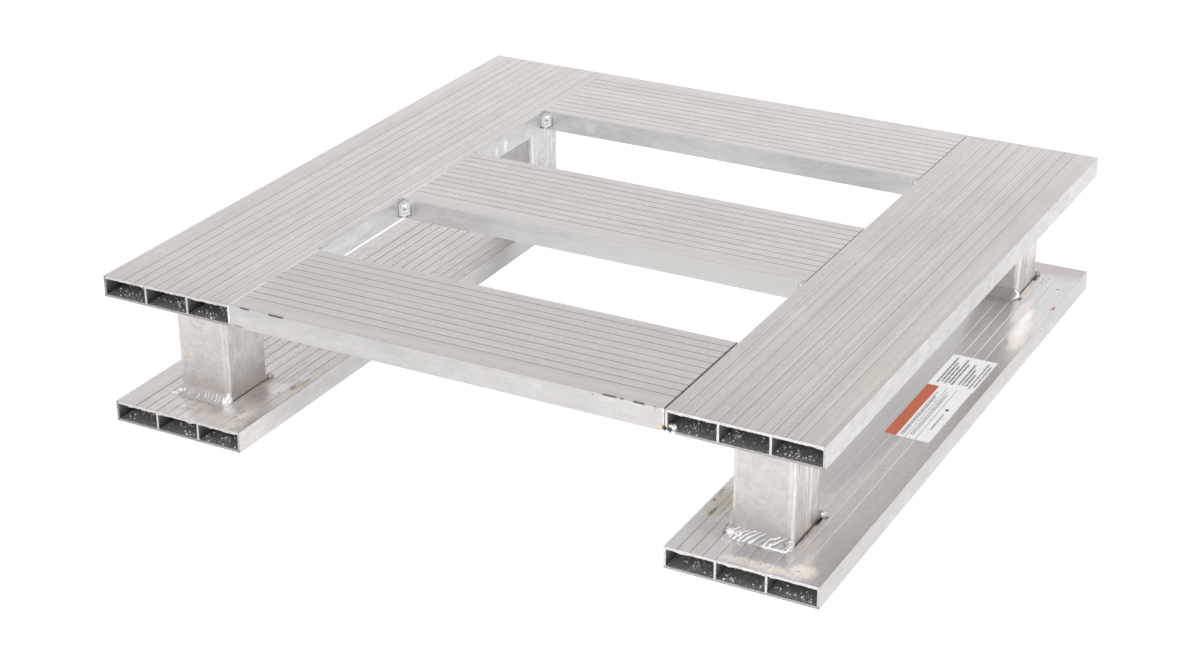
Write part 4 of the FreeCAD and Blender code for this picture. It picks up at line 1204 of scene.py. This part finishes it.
Y0 = {"front": -HALF, "middle": -W / 2, "rear": HALF - W}
for idx, (key, y0) in enumerate(Y0.items()):
    for side, x, dx in (("left", -INNER, 1), ("right", INNER, -1)):
        sh = Shape()
        # a bar in the seam between the two planks, just under their rounded edges, darkened to stand for the seam's
        # shade: painted shade
        slab(sh, (x - 0.05 if dx > 0 else x - 0.28, y0 + 1.4, Z_DECK + 1.6),
             (x + 0.28 if dx > 0 else x + 0.05, y0 + W - 1.4, Z_TOPDECK - (0.85 if side == "left" else 4.5)),
             0.42 if side == "left" else 0.30)
        bead(sh, (x, y0 + 3.0, Z_DECK), (1, 0, 0), (0, 0, -1), (0, 1, 0), W - 6.0, 9.0, 0, 4.6, 0.30, 0.3, 2.0,
             seed=80 + idx * 2 + (dx > 0), step=0.6, nt=12, dome=True, rise=2.3)
        if key != "front":
            # corner bead with painted highlights (its glints, the white cap, the bright dot) and painted shade on the
            # darkened drops at its toes
            bead(sh, (x, y0, Z_DECK + 1.6), (dx, 0, 0), (0, -1, 0), (0, 0, 1), T - 3.2, 8.6, 1.2, 4.6, 0.22, 0.2, 1.4,
                 seed=90 + idx * 2 + (dx > 0), step=0.3, nt=18, glints=[(9.5, 0.8, 0.2, 0.8), (5.0, 0.5, 0.3, 0.9)])
            hug, lift, fat = (3.4, 16.9, 4.9) if dx > 0 else (2.4, 18.4, 3.9)
            blob(sh, (x + dx * hug, y0 - hug, Z_DECK + lift), fat, 300 + idx * 20 + (dx > 0) * 8, (1, 1, 0.82), 20, 14, 1.0)
            for k, (a_, b_, c_, r, w_) in enumerate(((5.6, 5.6, 12.2, 1.5, 0.45), (6.9, 2.4, 3.4, 1.2, 0.9),
                                                     (1.4, 7.4, 4.0, 1.2, 0.9), (6.6, 6.2, 15.6, 0.8, 0.0))):
                blob(sh, (x + dx * a_, y0 - b_, Z_DECK + c_), r, 301 + idx * 20 + (dx > 0) * 8 + k, (1, 1, 0.8), 12, 8,
                     1.0 if w_ == 0 else 0.0, w_)
        elif side == "right":
            # the front joint was burnt through at its lower corner and left two drops in the cell beside it
            # the white of the clean drops is a painted highlight; the dark ones are burnt
            for k, (a_, b_, c_, r, sq, m) in enumerate((
                    (1.2, 2.6, 4.0, 1.9, (1.0, 1.0, 1.5), 1), (5.2, 2.7, 6.0, 2.5, (1.45, 1.0, 0.72), 0),
                    (8.0, 3.1, 4.6, 2.8, (0.9, 1.0, 1.25), 0), (2.4, 2.4, 1.4, 1.4, (1.5, 1.0, 0.7), 0),
                    (4.2, 2.2, 3.3, 1.9, (1.35, 1.0, 0.45), 1))):
                blob(sh, (x + a_, y0 + b_, Z_DECK + c_), r, 340 + k, sq, 14, 10, 1.0 if m == 0 else 0.0,
                     0.0 if m == 0 else 0.6, mat=m)
        sh.build("bead_joint_%s_%s" % (key, side), [WELD, WELD_DARK], ("weld_joint_%s_%s" % (key, side),), sharp=60)


# ------------------------------------------------------------------ stickers
def film(name, colour, rough=0.38, speck=0.04, lift=0.0):
    n = Net(name, metallic=0.0, Specular_IOR_Level=0.5)
    # lift makes the film glow in its own colour: painted light
    n.p.inputs["Emission Color"].default_value = (*colour, 1)
    n.p.inputs["Emission Strength"].default_value = lift
    pos = n.mm()
    a = n.noise(n.vmul(pos, (0.9, 0.9, 0.9)), 1.0, 3, 0.6)
    b = n.noise(n.vmul(pos, (0.05, 0.03, 0.05)), 1.0, 2, 0.5)
    level = n.add(1.0 - speck, n.add(n.mul(a, speck), n.mul(n.math("SUBTRACT", b, 0.5), 0.10)))
    return n.finish(n.scale_colour(colour, level), n.add(rough, n.mul(b, 0.12)),
                    n.bump(n.noise(n.vmul(pos, (0.12, 0.05, 0.12)), 1.0, 2), 0.25, 0.25))


# the white film glows a little: painted light
FILM_WHITE = film("film_white", (0.96, 0.96, 0.975), 0.42, 0.02, 0.28)
FILM_GREY = film("film_grey", (0.20, 0.20, 0.21))
FILM_ORANGE = film("film_orange", (0.88, 0.205, 0.092), 0.42)
FILM_DARK = film("film_dark", (0.13, 0.12, 0.12))


def sticker(name, node, box, bands, marks):
    """A thin film on the runner. Its top is cut into rectangles: bands are (x0, x1, material) across the width,
    marks are (x0, x1, y0, y1, material) inside it. All in millimetres from the film's low corner."""
    x0, y0, x1, y1 = box
    w, l = x1 - x0, y1 - y0
    xs = sorted({0.0, w, 0.8, w - 0.8} | {a for b in bands for a in b[:2]} | {a for m in marks for a in m[:2]})
    sh = Shape()
    top = 0.2
    cols = []
    for a, b in zip(xs, xs[1:]):
        mid = (a + b) / 2
        mat = next((i for p, q, i in bands if p <= mid <= q), 0)
        own = sorted((m for m in marks if m[0] <= mid <= m[1]), key=lambda m: m[2])
        cuts, fills = [0.0], []
        for m in own:
            if m[2] > cuts[-1]:
                cuts.append(m[2])
                fills.append(mat)
            cuts.append(m[3])
            fills.append(m[4])
        if cuts[-1] < l:
            cuts.append(l)
            fills.append(mat)
        cols.append((a, b, cuts, fills))
    # shared points: each column's two edges carry the cuts of both neighbours, so the top has no gaps
    all_cuts = [sorted(set(cols[0][2]))] + [sorted(set(cols[i][2]) | set(cols[i + 1][2])) for i in range(len(cols) - 1)] \
        + [sorted(set(cols[-1][2]))]
    corner = 0.9

    def inset(x, y):
        """Rounds the film's four corners a little."""
        if x in (0.0, w) and y in (0.0, l):
            return x + (0.25 if x == 0.0 else -0.25), y + (0.25 if y == 0.0 else -0.25)
        return x, y

    ids = []
    for x, cuts in zip(xs, all_cuts):
        col = {}
        for y in cuts:
            px, py = inset(x, y)
            col[y] = (sh.point((x0 + px, y0 + py, Z_TOP + top)), sh.point((x0 + px, y0 + py, Z_TOP + 0.01)))
        ids.append(col)
    for i, (a, b, cuts, fills) in enumerate(cols):
        for c0, c1, mat in zip(cuts, cuts[1:], fills):
            left = [ids[i][y][0] for y in sorted(ids[i]) if c0 <= y <= c1]
            right_ = [ids[i + 1][y][0] for y in sorted(ids[i + 1]) if c0 <= y <= c1]
            sh.face(*left[::-1], *right_, mat=mat)
    # underside and rim
    n_ = len(ids)
    rim = [ids[i][0.0] for i in range(n_)]
    rim += [ids[-1][y] for y in sorted(ids[-1])[1:]]
    rim += [ids[i][l] for i in reversed(range(n_ - 1))]
    rim += [ids[0][y] for y in sorted(ids[0], reverse=True)[1:-1]]
    for p, q in zip(rim, rim[1:] + rim[:1]):
        sh.face(p[1], q[1], q[0], p[0])
    sh.face(*[p[1] for p in reversed(rim)])
    used = {i for fc in sh.f for i in fc}
    keep = sorted(used)
    new = {o: i for i, o in enumerate(keep)}
    sh.v = [sh.v[i] for i in keep]
    sh.loc = [sh.loc[i] for i in keep]
    sh.shade_wear = [sh.shade_wear[i] for i in keep]
    sh.f = [tuple(new[i] for i in fc) for fc in sh.f]
    return sh.build(name, [FILM_WHITE, FILM_GREY, FILM_ORANGE, FILM_DARK], (node,), sharp=30)


def dashes(x0, x1, y0, y1, rng, mat, lo=1.2, hi=5.0, gap=0.9):
    out = []
    y = y0
    while y < y1 - lo:
        e = min(y + rng.uniform(lo, hi), y1)
        out.append((x0, x1, round(y, 3), round(e, 3), mat))
        y = e + gap * rng.uniform(0.8, 1.3)
    return out


rng = random.Random(5)
marks = []
marks += dashes(15.2, 16.4, 5, 108, rng, 3, 1.2, 3.4, 0.7)
marks += dashes(17.2, 18.4, 5, 96, rng, 3, 1.2, 3.4, 0.7)
marks += dashes(24.0, 25.2, 8, 112, rng, 1, 0.9, 2.6, 0.8)
marks += dashes(26.2, 27.4, 8, 104, rng, 1, 0.9, 2.6, 0.8)
marks += dashes(37.4, 39.2, 26, 62, rng, 3, 0.8, 1.8, 0.7)
marks += [(36.6, 39.8, 70, 74.5, 3)]
sticker("label_banded", "band_sticker", (322.9, -87.6, 369.5, 31.4),
        [(0, 12.6, 2), (21.2, 21.7, 3), (31.6, 32.1, 3)], marks)
marks = []
for i, x in enumerate((6.5, 10.3, 14.1, 17.9, 21.7)):
    marks += dashes(x, x + 2.2, 8 + 3 * (i % 2), 70 - 9 * (i % 3), rng, 1, 1.2, 4.0, 0.7)
for i, x in enumerate((28.2, 32.0, 35.8)):
    marks += dashes(x, x + 2.2, 12, 64 - 12 * i, rng, 1, 1.2, 3.6, 0.7)
for i, x in enumerate((40.2, 44.0)):
    marks += dashes(x, x + 1.9, 8 + 4 * i, 70 - 5 * i, rng, 1, 1.0, 3.0, 0.8)
sticker("label_plain", "plain_sticker", (322.5, 32.0, 370.5, 109.0), [], marks)


# ------------------------------------------------------------------ floor and light
def floor():
    mesh = bpy.data.meshes.new("floor")
    s = 9.0
    mesh.from_pydata([(-s, -s, -0.0002), (s, -s, -0.0002), (s, s, -0.0002), (-s, s, -0.0002)], [], [(0, 1, 2, 3)])
    n = Net("floor_pale", metallic=0.0, Specular_IOR_Level=0.2, Roughness=0.8)
    n.p.inputs["Emission Color"].default_value = (1, 1, 1, 1)
    n.p.inputs["Emission Strength"].default_value = 0.90
    g = n.noise(n.vmul(n.mm(), (0.004, 0.004, 0.004)), 1.0, 2)
    n.put(n.p.inputs["Base Color"], n.scale_colour((0.24, 0.24, 0.24), n.add(0.98, n.mul(g, 0.04))))
    mesh.materials.append(n.mat)
    ob = bpy.data.objects.new("floor", mesh)
    bpy.context.scene.collection.objects.link(ob)


floor()


def area(name, at, to, size, watts, colour=(1, 1, 1)):
    data = bpy.data.lights.new(name, "AREA")
    data.shape = "RECTANGLE"
    data.size, data.size_y = size
    data.energy = watts
    data.color = colour
    ob = bpy.data.objects.new(name, data)
    d = Vector(to) - Vector(at)
    ob.rotation_euler = d.to_track_quat("-Z", "Y").to_euler()
    ob.location = at
    bpy.context.scene.collection.objects.link(ob)
    return ob


area("soft_right", (3.2, -0.4, 1.25), (0.1, 0, 0.05), (1.5, 1.5), 9, (0.98, 0.99, 1.0))

world = bpy.data.worlds.new("studio")
bpy.context.scene.world = world
world.use_nodes = True
wt = world.node_tree
wt.nodes.clear()
wo = wt.nodes.new("ShaderNodeOutputWorld")
bg = wt.nodes.new("ShaderNodeBackground")
wt.links.new(bg.outputs[0], wo.inputs[0])
# a wide, even studio: pale walls all round, falling off towards the ceiling
wc = wt.nodes.new("ShaderNodeTexCoord")
ws = wt.nodes.new("ShaderNodeSeparateXYZ")
wt.links.new(wc.outputs["Generated"], ws.inputs[0])


def wmap(value, a, b, c, d, kind="LINEAR"):
    node = wt.nodes.new("ShaderNodeMapRange")
    node.interpolation_type = kind
    node.clamp = True
    wt.links.new(value, node.inputs["Value"])
    for key, v in (("From Min", a), ("From Max", b), ("To Min", c), ("To Max", d)):
        node.inputs[key].default_value = v
    return node.outputs[0]


def wmul(a, b):
    node = wt.nodes.new("ShaderNodeMath")
    node.operation = "MULTIPLY"
    wt.links.new(a, node.inputs[0])
    wt.links.new(b, node.inputs[1])
    return node.outputs[0]


low = wmap(ws.outputs[2], 0.05, 0.60, 1.48, 0.72)
high = wmap(ws.outputs[2], 0.60, 0.95, 1.0, 0.62, "SMOOTHSTEP")
across = wmap(ws.outputs[0], -0.9, 0.9, 0.90, 1.10)
behind = wmap(ws.outputs[1], -0.9, 0.3, 0.88, 1.0, "SMOOTHSTEP")
level = wmul(wmul(low, high), wmul(across, behind))
wt.links.new(level, bg.inputs["Strength"])
bg.inputs["Color"].default_value = (1.0, 0.995, 0.99, 1)

view = bpy.context.scene.view_settings
view.view_transform = "Standard"
view.look = "None"
view.exposure = 0.0
view.gamma = 1.0
